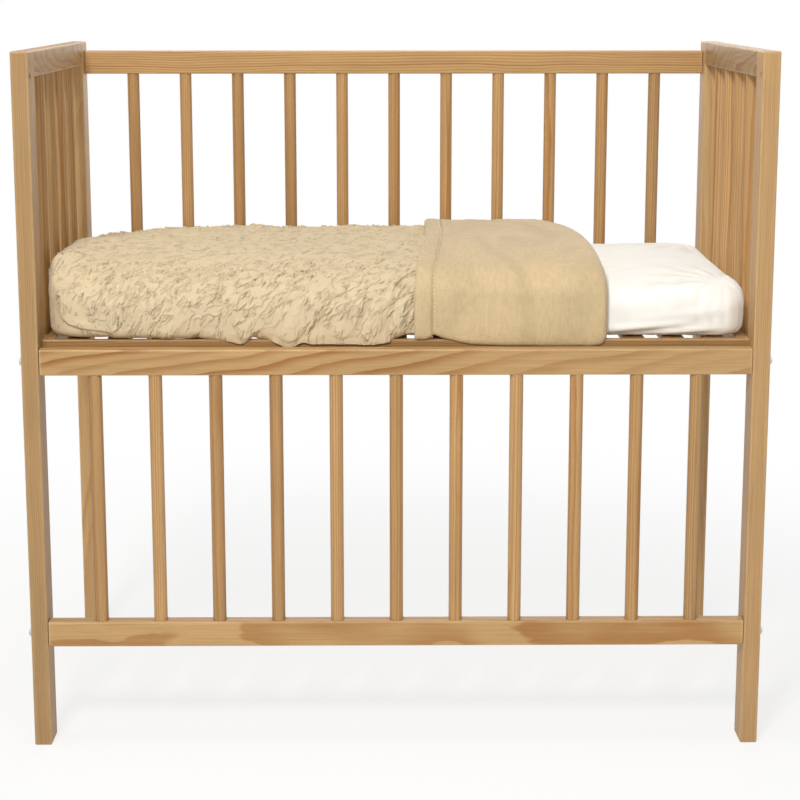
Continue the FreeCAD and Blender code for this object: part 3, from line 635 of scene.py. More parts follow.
@dataclass
class WoodenFrame:
    """The legs, end frames, panels and base, each board with its own figure.

    Attributes:
        shop: The shared node groups.
        dowel_pitch: Spacing of the long panels' dowels.
        end_pitch: Spacing of the end frames' dowels.
        slat_pitch: Spacing of the slats.
        slat_level: Height of the slats.
        leg_pine: Finish of the legs.
        rail_pine: Finish of the rails.
        soft_pine: Finish of the front's lower rail, whose rings are fainter.
        base_pine: Finish of the bed's base.
        dowel_pine: Finish of the round bars and the pins.
    """

    shop: Shop
    dowel_pitch: float = 0.0767
    end_pitch: float = 0.0764
    slat_pitch: float = 0.051
    slat_level: float = 0.5325
    leg_pine: PineFinish = PineFinish("leg_pine", paint(187, 152, 106), paint(160, 112, 64), 0.55)
    rail_pine: PineFinish = PineFinish("rail_pine", dark=paint(158, 103, 50), contrast=0.95)
    soft_pine: PineFinish = PineFinish("soft_pine", dark=paint(166, 113, 60), contrast=0.80)
    base_pine: PineFinish = PineFinish("base_pine", paint(172, 134, 86), paint(136, 94, 50))
    dowel_pine: PineFinish = PineFinish("dowel_pine", paint(197, 161, 113), paint(166, 116, 64))

    def boards(self) -> None:
        """Dresses each board as cut from a log of its own: its pith, lean, ring, wander, seed and tone."""
        for finish, grain, logs in (
                (self.leg_pine, Grain.ALONG_Z, (
                    ("post_front_left", (0.09, 0.012), (0.004, 0.0), 0.0026, 0.005, 1.0, 0.86),
                    ("post_front_right", (-0.085, -0.02), (-0.003, 0.0), 0.0024, 0.004, 5.0, 1.06),
                    # Tone 1.18: painted light, brightening a leg that stands in shade.
                    ("post_back_left", (0.012, 0.075), (0.0, 0.020), 0.0036, 0.012, 9.0, 1.18),
                    ("post_back_right", (-0.03, 0.08), (0.004, 0.010), 0.0030, 0.008, 14.0, 1.10))),
                (self.rail_pine, Grain.ALONG_X, (
                    ("front_top_rail", (0.060, -0.040), (-0.080, 0.050), 0.0088, 0.020, 3.2, 0.93,
                     (0.02, 0.16)),
                    ("back_top_rail", (0.016, 0.085), (0.0, 0.006), 0.0036, 0.014, 2.0),
                    ("back_lower_rail", (0.05, 0.03), (0.01, 0.01), 0.0035, 0.015, 6.0))),
                (self.soft_pine, Grain.ALONG_X, (
                    ("front_lower_rail", (0.085, 0.004), (-0.030, 0.020), 0.0130, 0.034, 8.4),)),
                (self.rail_pine, Grain.ALONG_Y, (
                    # The tones 0.80 and 0.70 of the end frames' top rails are painted shade, darkening each
                    # board to match its inner face in shade.
                    ("end_left_top_rail", (-0.055, 0.012), (0.06, 0.03), 0.0030, 0.018, 4.0, 0.80),
                    ("end_left_lower_rail", (0.06, 0.02), (0.03, 0.02), 0.0034, 0.012, 7.0),
                    ("end_right_top_rail", (0.050, -0.012), (0.05, -0.02), 0.0028, 0.022, 11.0, 0.70),
                    ("end_right_lower_rail", (-0.06, 0.02), (0.02, 0.02), 0.0034, 0.012, 15.0))),
                (self.base_pine, Grain.ALONG_X, (
                    ("base_front_batten", (0.02, 0.07), (0.0, 0.012), 0.0030, 0.012, 12.0),
                    ("base_back_batten", (0.03, 0.06), (0.0, 0.010), 0.0030, 0.012, 17.0))),
                (self.base_pine, Grain.ALONG_Y, (
                    ("base_left_bar", (0.03, 0.05), (0.02, 0.01), 0.0030, 0.010, 20.0),
                    ("base_right_bar", (0.03, 0.05), (0.02, 0.01), 0.0030, 0.010, 23.0))),
                (self.dowel_pine, Grain.ALONG_Y, (
                    ("end_left_pins", (0.02, 0.03), (0.0, 0.0), 0.0020, 0.002),
                    ("end_right_pins", (0.02, 0.03), (0.0, 0.0), 0.0020, 0.002)))):
            for node, *figure in logs:
                dress(finish.make(self.shop, node, grain, Figure(*figure), *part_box(node)), node)

    def bars(self) -> None:
        """Dresses the rows of equal bars: the dowels, which stand, and the slats."""
        straight = Figure((0.06, 0.06), (0.003, 0.002), 0.0030, 0.003)
        for row, count in (("front", 11), ("back", 11), ("end_left", 4), ("end_right", 4)):
            nodes = [f"{row}_dowel_{number}" for number in range(1, count + 1)]
            low, high = span(*nodes)
            middle = (low + high) / 2
            cells = Vector((middle.x, self.end_pitch / 2, 0.0) if row.startswith("end")
                           else (self.dowel_pitch, middle.y, 0.0))
            dress(self.dowel_pine.make(self.shop, row, Grain.ALONG_Z, straight, low, high, cells), *nodes)
        slat = Figure((0.08, 0.09), (0.01, 0.01), 0.003, 0.006, 2.0)
        dress(self.base_pine.make(self.shop, "slats", Grain.ALONG_Y, slat, *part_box("base_slats"),
                                  Vector((self.slat_pitch, 0.0, self.slat_level))), "base_slats")

    def build(self) -> None:
        """Dresses every wooden and metal piece."""
        self.boards()
        self.bars()
        dress(ZincFinish().make(self.shop, "zinc_steel"), "front_bolts", "front_bolt_ends", "back_bolts",
              "front_barrel_nuts", "back_barrel_nuts", "base_bolts", "base_nuts", "base_screws")
        log.info("frame: %d pieces dressed", len(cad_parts))


# --- cloth ---------------------------------------------------------------------------------------


class SmoothNoise:
    """Seeded gradient noise over a plane."""

    CELLS = 256

    def __init__(self, seed: int) -> None:
        """Draws the gradients.

        Args:
            seed: The seed.
        """
        turns = np.random.default_rng(seed).uniform(0, 2 * math.pi, (self.CELLS, self.CELLS))
        self.east, self.north = np.cos(turns), np.sin(turns)

    def at(self, u: Array, v: Array) -> Array:
        """The noise, from about -0.7 to 0.7.

        Args:
            u: First coordinate, in cells.
            v: Second coordinate, in cells.

        Returns:
            A value for each point.
        """
        left, low = np.floor(u).astype(int), np.floor(v).astype(int)
        across, up = u - left, v - low
        ease_u = across ** 3 * (across * (across * 6 - 15) + 10)
        ease_v = up ** 3 * (up * (up * 6 - 15) + 10)
        total = 0.0
        for step_u in (0, 1):
            for step_v in (0, 1):
                cell = ((left + step_u) % self.CELLS, (low + step_v) % self.CELLS)
                slope = self.east[cell] * (across - step_u) + self.north[cell] * (up - step_v)
                total = total + (slope * (ease_u if step_u else 1 - ease_u)
                                 * (ease_v if step_v else 1 - ease_v))
        return total


def smooth(low: float, high: float, value: Array) -> Array:
    """A smooth step from 0 at low to 1 at high."""
    share = np.clip((value - low) / (high - low), 0.0, 1.0)
    return share * share * (3 - 2 * share)


def through(place: Array, spots: Sequence[float], values: Sequence[float]) -> Array:
    """A smooth line through values at several spots.

    Args:
        place: Where it is read.
        spots: The spots, in rising order.
        values: The value at each.

    Returns:
        The line's values.
    """
    spots, values = np.asarray(spots), np.asarray(values)
    slopes = np.gradient(values, spots)
    place = np.clip(place, spots[0], spots[-1])
    cell = np.clip(np.searchsorted(spots, place) - 1, 0, len(spots) - 2)
    width = spots[cell + 1] - spots[cell]
    t = (place - spots[cell]) / width
    return ((2 * t ** 3 - 3 * t ** 2 + 1) * values[cell] + (t ** 3 - 2 * t ** 2 + t) * width * slopes[cell]
            + (3 * t ** 2 - 2 * t ** 3) * values[cell + 1] + (t ** 3 - t ** 2) * width * slopes[cell + 1])


def lengths(line: Array) -> Array:
    """How far each point of a line is from its first, along the line."""
    return np.r_[0, np.cumsum(np.linalg.norm(np.diff(line, axis=0), axis=1))]


def walk(stops: Union[float, Array], reach: Array, line: Array) -> Array:
    """The points of a line at some distances along it, where reach holds its lengths."""
    return np.stack([np.interp(stops, reach, part) for part in line.T], -1)


def beside(x: Array, y: Array, line: Array) -> tuple[Array, Array, Array]:
    """How points of a plane lie beside a line.

    Args:
        x: The points' first coordinate.
        y: Their second.
        line: The line's corners.

    Returns:
        For each point its distance from the line, 1 or -1 for its side, and the nearest place's share of
        the way along.
    """
    away, side, along = np.full(x.shape, 1.0), np.zeros(x.shape), np.zeros(x.shape)
    for number, (start, end) in enumerate(zip(line, line[1:])):
        run = end - start
        share = np.clip(((x - start[0]) * run[0] + (y - start[1]) * run[1]) / (run @ run), 0, 1)
        gap_x, gap_y = x - start[0] - share * run[0], y - start[1] - share * run[1]
        gap = np.hypot(gap_x, gap_y)
        closer = gap < away
        side = np.where(closer, np.sign(run[1] * gap_x - run[0] * gap_y), side)
        along = np.where(closer, (number + share) / (len(line) - 1), along)
        away = np.where(closer, gap, away)
    return away, side, along


def outward(grid: Array, middle: float, ring: bool = False,
            columns: Union[slice, Array] = slice(None)) -> Array:
    """Unit normals of a grid that point away from the middle of the bedding.

    Args:
        grid: Points, as rows by columns by three.
        middle: Where the piece's middle is, along X.
        ring: True where the last column meets the first.
        columns: The columns that tell which way is out.

    Returns:
        The normals, in the grid's shape.
    """
    along = np.roll(grid, -1, 1) - np.roll(grid, 1, 1) if ring else np.gradient(grid, axis=1)
    cross = np.cross(along, np.gradient(grid, axis=0))
    out = cross / np.maximum(np.linalg.norm(cross, axis=2, keepdims=True), 1e-12)
    return out * np.sign(np.sum(out * (grid - np.array([middle, 0, MID_HEIGHT])), 2)[:, columns].mean())


@dataclass(frozen=True)
class Profile:
    """How a cover turns up from its lower edge and over to its top.

    Attributes:
        low: Height of its lower edge.
        foot: Rounding of its lower edge.
        high: Height of its shoulder.
        shoulder: Rounding of its shoulder.
    """

    low: float
    foot: float
    high: float
    shoulder: float


@dataclass
class CoverForm:
    """A cover over the mattress: columns go round its plan and rows go from the hem up to its spine.

    The plan starts at the right of the back, goes round the left end and comes back along the front.

    Attributes:
        left: Its left end.
        right: Its right end.
        half: Half its width.
        corner: Rounding of its plan.
        front: Its profile at the front.
        back: Its profile at the ends and the back.
        peak: Height of its spine.
        closed: True where it goes round the right end too.
        spine: Ends of its spine, along X.
        bulge: How far its sides swell.
        flat: How flat its top is.
    """

    left: float
    right: float
    half: float
    corner: float
    front: Profile
    back: Profile
    peak: float
    closed: bool
    spine: Pair
    bulge: float = 0.0015
    flat: float = 3.0

    def outline(self) -> tuple[Array, Array]:
        """The plan's corners and arcs.

        Returns:
            Points of the plan, and each one's distance round it.
        """
        corner, half = self.corner, self.half
        turn = np.linspace(0, math.pi / 2, 40)
        sine, cosine = np.sin(turn), np.cos(turn)
        left, right = self.left + corner, self.right - (corner if self.closed else 0.0)
        path = [np.array([[right, half]]),
                np.stack([left - corner * sine, half - corner + corner * cosine], 1),
                np.stack([left - corner * cosine, corner - half - corner * sine], 1),
                np.array([[right, -half]])]
        if self.closed:
            path.append(np.stack([right + corner * sine, corner - half - corner * cosine], 1))
            path.append(np.stack([right + corner * cosine, half - corner + corner * sine], 1))
        line = np.concatenate(path)
        line = line[np.r_[True, np.linalg.norm(np.diff(line, axis=0), axis=1) > 1e-9]]
        return line, lengths(line)

    def rise(self, share: Array, profile: Profile) -> tuple[Array, Array, Array, Array]:
        """Points up the side and over the top.

        Args:
            share: Each point's share of the way from hem to spine.
            profile: How the cover turns.

        Returns:
            For each, its distance in from the plan, its height, its share of the way from the shoulder to
            the spine, and its distance from the hem.
        """
        turn = np.linspace(0, math.pi / 2, 24)
        foot = np.stack([profile.foot * (1 - np.sin(turn)),
                         profile.low + profile.foot * (1 - np.cos(turn))], 1)
        turn = np.linspace(0, self.last_turn(profile), 24)
        top = np.stack([profile.shoulder * (1 - np.cos(turn)),
                        profile.high - profile.shoulder * (1 - np.sin(turn))], 1)
        line = np.concatenate([foot, top, np.array([[self.half, top[-1, 1]]])])
        reach = lengths(line)
        stops = share * reach[-1]
        inset, height = walk(stops, reach, line).T
        over = np.clip((stops - reach[-2]) / (reach[-1] - reach[-2]), 0, 1)
        side = np.clip((height - profile.low) / (top[-1, 1] - profile.low), 0, 1)
        inset = inset - self.bulge * 16 * side ** 2 * (1 - side) ** 2 * (over == 0)
        height = height + (self.peak - top[-1, 1]) * (1 - (1 - over) ** self.flat)
        return inset, height, over, stops

    def last_turn(self, profile: Profile) -> float:
        """The angle at which a shoulder's arc meets the top's slope.

        Args:
            profile: How the cover turns.

        Returns:
            The angle from the upright, in radians, closed in on step by step.
        """
        last = math.pi / 2
        for _ in range(12):
            inset = profile.shoulder * (1 - math.cos(last))
            height = profile.high - profile.shoulder * (1 - math.sin(last))
            last = math.pi / 2 - math.atan(self.flat * (self.peak - height) / (self.half - inset))
        return last

    def shoulder_inset(self, profile: Profile) -> float:
        """How far in from the plan a shoulder's arc ends."""
        return profile.shoulder * (1 - math.cos(self.last_turn(profile)))

    def grid(self, rows: Array, columns: Array) -> tuple[Array, Array]:
        """The form as a grid.

        Args:
            rows: Shares of the way from hem to spine.
            columns: Shares of the way round the plan.

        Returns:
            The points, and for each, where it lies on the cloth spread flat, how far it is from the hem,
            and how far it is round the plan.
        """
        line, reach = self.outline()
        around = columns * reach[-1]
        points = walk(around, reach, line)
        foot = np.stack([np.clip(points[:, 0], *self.spine), np.zeros(len(points))], 1)
        back = smooth(-self.half, -self.half + 1.15 * self.corner, points[:, 1])
        inset, height, over, climb = (one[:, None] * (1 - back) + other[:, None] * back for one, other in
                                      zip(self.rise(rows, self.front), self.rise(rows, self.back)))
        shoulder = self.shoulder_inset(self.front) * (1 - back) + self.shoulder_inset(self.back) * back
        span_in = np.linalg.norm(foot - points, axis=1)
        inward = (foot - points) / span_in[:, None]
        far = np.where(over > 0, shoulder + over * (span_in - shoulder), inset)
        xy = points[None] + inward[None] * far[..., None]
        flat = xy - inward[None] * (self.peak - height)[..., None]
        round_plan = np.broadcast_to(around[None, :, None], (*climb.shape, 1))
        cloth = np.concatenate([flat, climb[..., None], round_plan], 2)
        return np.concatenate([xy, height[..., None]], 2), cloth


def add_object(name: str, data: bpy.types.ID) -> Object:
    """Puts an object that holds some data into the scene."""
    made = bpy.data.objects.new(name, data)
    bpy.context.scene.collection.objects.link(made)
    return made


def select(*pieces: Object) -> None:
    """Selects these pieces alone, and makes the first one active."""
    bpy.ops.object.select_all(action="DESELECT")
    for piece in pieces:
        piece.select_set(True)
    bpy.context.view_layer.objects.active = pieces[0]


def thicken(piece: Object, thickness: float, offset: float = -1.0, even: bool = True) -> None:
    """Gives a sheet its thickness.

    Args:
        piece: The sheet.
        thickness: Its thickness.
        offset: -1 for inwards, 0 for half to each side.
        even: True to weigh the normals, for an even wall.
    """
    wall = piece.modifiers.new("Thickness", "SOLIDIFY")
    wall.thickness, wall.offset, wall.use_quality_normals = thickness, offset, even
    select(piece)
    bpy.ops.object.modifier_apply(modifier=wall.name)


@dataclass
class Cloth:
    """Turns grids of points into finished pieces.

    Attributes:
        name: The piece's name.
        material: Its material.
        slot: The record's material slot. Not used.
    """

    name: str
    material: Material
    slot: str

    def finish(self, vertices: Array, faces: list[list[int]], cloth: Array, crease: Array,
               weld: float = 0.0) -> Object:
        """Makes the mesh with its UV map and crease attribute.

        Args:
            vertices: Points.
            faces: Corner numbers of each face.
            cloth: Cloth coordinates of each point.
            crease: Depth in a crease of each point, from 0 to 1, painted as shade by the material.
            weld: Points closer than this are joined.

        Returns:
            The object, smooth, at the origin, riding on the bedding.
        """
        mesh = bpy.data.meshes.new(self.name)
        mesh.from_pydata(vertices.tolist(), [], faces)
        layer = mesh.uv_layers.new(name="Cloth")
        corners = np.empty(len(mesh.loops), dtype=np.int32)
        mesh.loops.foreach_get("vertex_index", corners)
        layer.data.foreach_set("uv", cloth[corners, :2].astype(np.float32).ravel())
        mesh.attributes.new("crease", "FLOAT", "POINT").data.foreach_set("value", crease.astype(np.float32))
        piece = add_object(self.name, mesh)
        select(piece)
        bpy.ops.object.mode_set(mode="EDIT")
        bpy.ops.mesh.select_all(action="SELECT")
        if weld:
            bpy.ops.mesh.remove_doubles(threshold=weld)
            bpy.ops.mesh.select_all(action="SELECT")
        bpy.ops.mesh.normals_make_consistent(inside=False)
        bpy.ops.object.mode_set(mode="OBJECT")
        bpy.ops.object.shade_smooth()
        mesh.materials.append(self.material)
        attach(piece, "bedding")
        return piece


def sheet_faces(rows: int, columns: int, ring: bool = False, start: int = 0,
                flip: bool = False) -> list[list[int]]:
    """Quads between the points of a grid.

    Args:
        rows: Rows of points.
        columns: Columns of points.
        ring: True where the last column meets the first.
        start: Number of the grid's first point.
        flip: True to turn the faces round.

    Returns:
        The faces.
    """
    numbers = start + np.arange(rows * columns).reshape(rows, columns)
    if ring:
        numbers = np.concatenate([numbers, numbers[:, :1]], 1)
    quads = np.stack([numbers[:-1, :-1], numbers[:-1, 1:], numbers[1:, 1:], numbers[1:, :-1]], 2)
    return quads.reshape(-1, 4)[:, ::-1 if flip else 1].tolist()


def wall_faces(outer: Sequence[int], inner: Sequence[int], every: int,
               flip: bool = False) -> list[list[int]]:
    """Faces between a fine edge and a coarse one.

    Args:
        outer: Points of the fine edge.
        inner: Points of the coarse edge, one for each `every` of the fine one.
        every: Fine steps in a coarse step.
        flip: True to turn the faces round.

    Returns:
        The faces.
    """
    faces = []
    for step in range(len(inner) - 1):
        face = [*outer[step * every:(step + 1) * every + 1], inner[step + 1], inner[step]]
        faces.append(face[::-1] if flip else face)
    return faces


def resample(grid: Array, rows: Array, columns: Array) -> Array:
    """A grid's values at other places, by smooth interpolation.

    Args:
        grid: Values, as rows by columns by any number.
        rows: Wanted shares of the way up.
        columns: Wanted shares of the way across.

    Returns:
        The new grid.
    """
    for axis, wanted in ((0, rows), (1, columns)):
        count = grid.shape[axis]
        spots = wanted * (count - 1)
        base = np.clip(np.floor(spots).astype(int), 0, count - 2)
        share = (spots - base).reshape([-1 if place == axis else 1 for place in range(grid.ndim)])
        a, b, c, d = [np.take(grid, np.clip(base + step, 0, count - 1), axis=axis)
                      for step in (-1, 0, 1, 2)]
        grid = b + 0.5 * share * (c - a + share * (2 * a - 5 * b + 4 * c - d
                                                   + share * (3 * (b - c) + d - a)))
    return grid


@dataclass
class Mattress:
    """The foam mattress in its ticking, and the fitted sheet stretched over it.

    Attributes:
        shop: The shared node groups.
        step: Height of the sheet's squares, which are half as wide again.
        plan: Length of the sheet's edge round the bed.
        climb: Length of the sheet from its lower edge to the bed's middle.
        hem: How far the sheet reaches under the core.
        weld: Points closer than this are joined.
        cotton: The sheet's cloth.
        ticking: The core's cloth.
    """

    shop: Shop
    step: float = 0.0035
    plan: float = 2.6
    climb: float = 0.285
    hem: float = 0.055
    weld: float = 0.0002
    # The sheet's second colour is painted shade, laid into the hollows of its folds.
    cotton: ClothFinish = ClothFinish(paint(249, 247, 241), paint(190, 183, 164), threads=2200.0, slub=0.15,
                                      nap=500.0, nap_shade=0.006, relief=0.00006, sheen=0.08)
    ticking: ClothFinish = ClothFinish(paint(226, 220, 204), paint(190, 182, 164), threads=1400.0)

    def form(self, grow: float = 0.0) -> CoverForm:
        """The mattress's form, grown by a distance."""
        return CoverForm(left=-0.440 - grow, right=0.450 + grow, half=0.1975 + grow, corner=0.034,
                         front=Profile(0.5384 - grow, 0.013, 0.6050 + grow, 0.030),
                         back=Profile(0.5384 - grow, 0.013, 0.6085 + grow, 0.026), peak=0.6180 + grow,
                         closed=True, spine=(-0.24, 0.25), bulge=0.001)

    def core(self) -> Object:
        """The foam core in its ticking, a closed pad just inside the sheet.

        Returns:
            The piece.
        """
        form = self.form(-0.0012)
        rows, columns = 34, 260
        grid, cloth = form.grid(np.linspace(0, 1, rows), np.linspace(0, 1, columns, endpoint=False))
        count = rows * columns
        faces = sheet_faces(rows, columns, ring=True)
        ring = grid[0]
        middle = np.stack([np.clip(ring[:, 0], *form.spine), 0 * ring[:, 1], ring[:, 2]], 1)
        inner = [ring + (middle - ring) * share for share in (0.15, 0.35, 0.6, 1.0)]
        vertices = np.concatenate([grid.reshape(-1, 3), *inner])
        flat = np.concatenate([cloth[..., :2].reshape(-1, 2), *[loop[:, :2] for loop in inner]])
        loops = [np.arange(columns), *(count + np.arange(len(inner) * columns).reshape(-1, columns))]
        for first, second in zip(loops, loops[1:]):
            faces += np.stack([np.roll(first, -1), first, second, np.roll(second, -1)], 1).tolist()
        piece = Cloth("mattress_core", self.ticking.make(self.shop, "ticking"), "sheet_cotton").finish(
            vertices, faces, flat, np.zeros(len(vertices)), self.weld)
        return piece

    def shape(self, grid: Array, cloth: Array, form: CoverForm) -> tuple[Array, Array]:
        """Adds the sheet's soft pulls: long ones on the front, puckers at the corners, slight sags.

        Args:
            grid: The smooth form.
            cloth: Its cloth coordinates.
            form: The form it came from.

        Returns:
            The shaped points, and the depth in creases, which the material paints as shade.
        """
        x, y, z = np.moveaxis(grid, 2, 0)
        noise = SmoothNoise(11)
        lift = (0.0007 * noise.at(x * 9 + 40, y * 9 + z * 14 + 40)
                + 0.0003 * noise.at(x * 28, y * 28 + z * 30))
        front = smooth(-0.186, -0.196, y)
        for start, end, level, slope, height, width in ((0.262, 0.392, 0.5462, 0.095, 0.0040, 0.0034),
                                                       (0.330, 0.430, 0.5432, 0.070, 0.0032, 0.0030),
                                                       (0.300, 0.440, 0.5590, 0.120, 0.0014, 0.0060)):
            line = level + (x - start) * slope + 0.0012 * noise.at(x * 22 + level * 900, 0 * x)
            along = smooth(start, start + 0.03, x) * smooth(end, end - 0.05, x)
            away = (z - line) / width
            hollow = np.exp(-((away + 1.5) / 0.8) ** 2)
            lift += front * along * height * (np.exp(-away ** 2) - 0.55 * hollow)
        for corner_x, corner_y in ((form.right, -form.half), (form.right, form.half),
                                   (form.left, -form.half), (form.left, form.half)):
            east = x - corner_x + 0.03 * np.sign(corner_x)
            north = y - corner_y + 0.03 * np.sign(corner_y)
            angle, reach = np.arctan2(north, east), np.hypot(east, north)
            pleat = np.sin(angle * 13 + 3.2 * noise.at(reach * 30, angle * 2 + corner_x * 9))
            fade = np.exp(-((reach - 0.045) / 0.05) ** 2)
            lift += 0.0008 * pleat * (fade * smooth(0.541, 0.560, z) * smooth(0.0, 0.02, reach))
        shaped = grid + outward(grid, 0.0, ring=True) * lift[..., None]
        gather = np.sin(cloth[..., 3] * 2 * math.pi / 0.018 + 2.5 * noise.at(cloth[..., 3] * 35, 0 * x))
        shaped[..., 2] += 0.0004 * gather * smooth(0.5405, 0.5375, z)
        # The colour darkens where the sheet is drawn in: painted shade in the hollows of its folds.
        return shaped, np.clip(-lift / 0.004, 0, 1)

    def sheet(self) -> Object:
        """The fitted sheet: stretched over the core and gathered under it by the elastic in its hem.

        Returns:
            The piece.
        """
        form = self.form()
        columns, rows = round(self.plan / (1.5 * self.step)), round(self.climb / self.step)
        grid, cloth = form.grid(np.linspace(0, 1, rows), np.linspace(0, 1, columns, endpoint=False))
        ring = grid[0]
        inward = np.clip(ring[:, :2], (-0.36, -0.12), (0.37, 0.12)) - ring[:, :2]
        inward /= np.linalg.norm(inward, axis=1, keepdims=True)
        depths = np.linspace(self.hem, 0.0, 15)[:-1]
        noise = SmoothNoise(5)
        around = cloth[0, :, 3]
        under = []
        for depth in depths:
            pull = depth * (1 + 0.10 * noise.at(around * 22, 0 * around))
            loop = ring.copy()
            loop[:, :2] += inward * pull[:, None]
            loop[:, 2] = form.front.low - 0.0002
            under.append(loop)
        grid = np.concatenate([under, grid])
        extra = np.repeat(cloth[:1], len(depths), 0)
        extra[..., :2] += (cloth[0, :, :2] - cloth[1, :, :2])[None] / self.step * depths[:, None, None]
        cloth = np.concatenate([extra, cloth])
        shaped, crease = self.shape(grid, cloth, form)
        piece = Cloth("fitted_sheet", self.cotton.make(self.shop, "fitted_cotton"), "sheet_cotton").finish(
            shaped.reshape(-1, 3), sheet_faces(len(shaped), columns, ring=True), cloth.reshape(-1, 4),
            crease.ravel(), self.weld)
        thicken(piece, 0.0006)
        return piece

    def build(self) -> tuple[Object, Object]:
        """Builds both pieces.

        Returns:
            The core and the sheet.
        """
        core, sheet = self.core(), self.sheet()
        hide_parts("mattress")
        return core, sheet


@dataclass
class Settling:
    """A cloth simulation of a cover over the mattress, with its hem held.

    Attributes:
        frames: How long it runs.
        slack: Spare length of the cloth.
        puff: Pressure of the filling.
    """

    frames: int = 24
    slack: float = 0.045
    puff: float = 1.2

    def run(self, grid: Array, held: Array, core: Object) -> Array:
        """Lets a grid of cloth settle.

        Args:
            grid: The cloth, as rows by columns by three.
            held: How firmly each point is held, from 0 to 1.
            core: What it lies on.

        Returns:
            The settled points, in the same shape.
        """
        rows, columns = grid.shape[:2]
        mesh = bpy.data.meshes.new("settling")
        mesh.from_pydata(grid.reshape(-1, 3).tolist(), [], sheet_faces(rows, columns))
        cloth = add_object("settling", mesh)
        pins = cloth.vertex_groups.new(name="held")
        for number, weight in enumerate(held.ravel()):
            if weight > 0:
                pins.add([number], float(weight), "REPLACE")
        obstacle = core.modifiers.new("Obstacle", "COLLISION")
        core.collision.thickness_outer = 0.002
        made = cloth.modifiers.new("Settling", "CLOTH")
        rules = made.settings
        rules.quality = 6
        rules.mass = 0.15
        rules.tension_stiffness = rules.compression_stiffness = rules.shear_stiffness = 12.0
        rules.bending_stiffness = 0.08
        rules.shrink_min = -self.slack
        rules.vertex_group_mass = "held"
        rules.use_pressure = True
        rules.uniform_pressure_force = self.puff
        rules.effector_weights.gravity = 0.6
        made.collision_settings.distance_min = 0.002
        made.collision_settings.use_self_collision = False
        made.point_cache.frame_start, made.point_cache.frame_end = 1, self.frames
        scene = bpy.context.scene
        for number in range(1, self.frames + 1):
            scene.frame_set(number)
        settled = cloth.evaluated_get(bpy.context.evaluated_depsgraph_get()).data
        points = np.empty(len(settled.vertices) * 3)
        settled.vertices.foreach_get("co", points)
        scene.frame_set(1)
        bpy.data.objects.remove(cloth)
        core.modifiers.remove(obstacle)
        return points.reshape(grid.shape)


@dataclass(frozen=True)
class Fold:
    """One large fold on the quilt's front, from one point to another.

    Attributes:
        start: Its lower end, along X and Z.
        end: Its upper end.
        height: How far it stands out, or less than 0 for a hollow.
        width: Half its width.
        steep: How much steeper its right side is than its left.
    """

    start: Pair
    end: Pair
    height: float
    width: float
    steep: float = 1.0


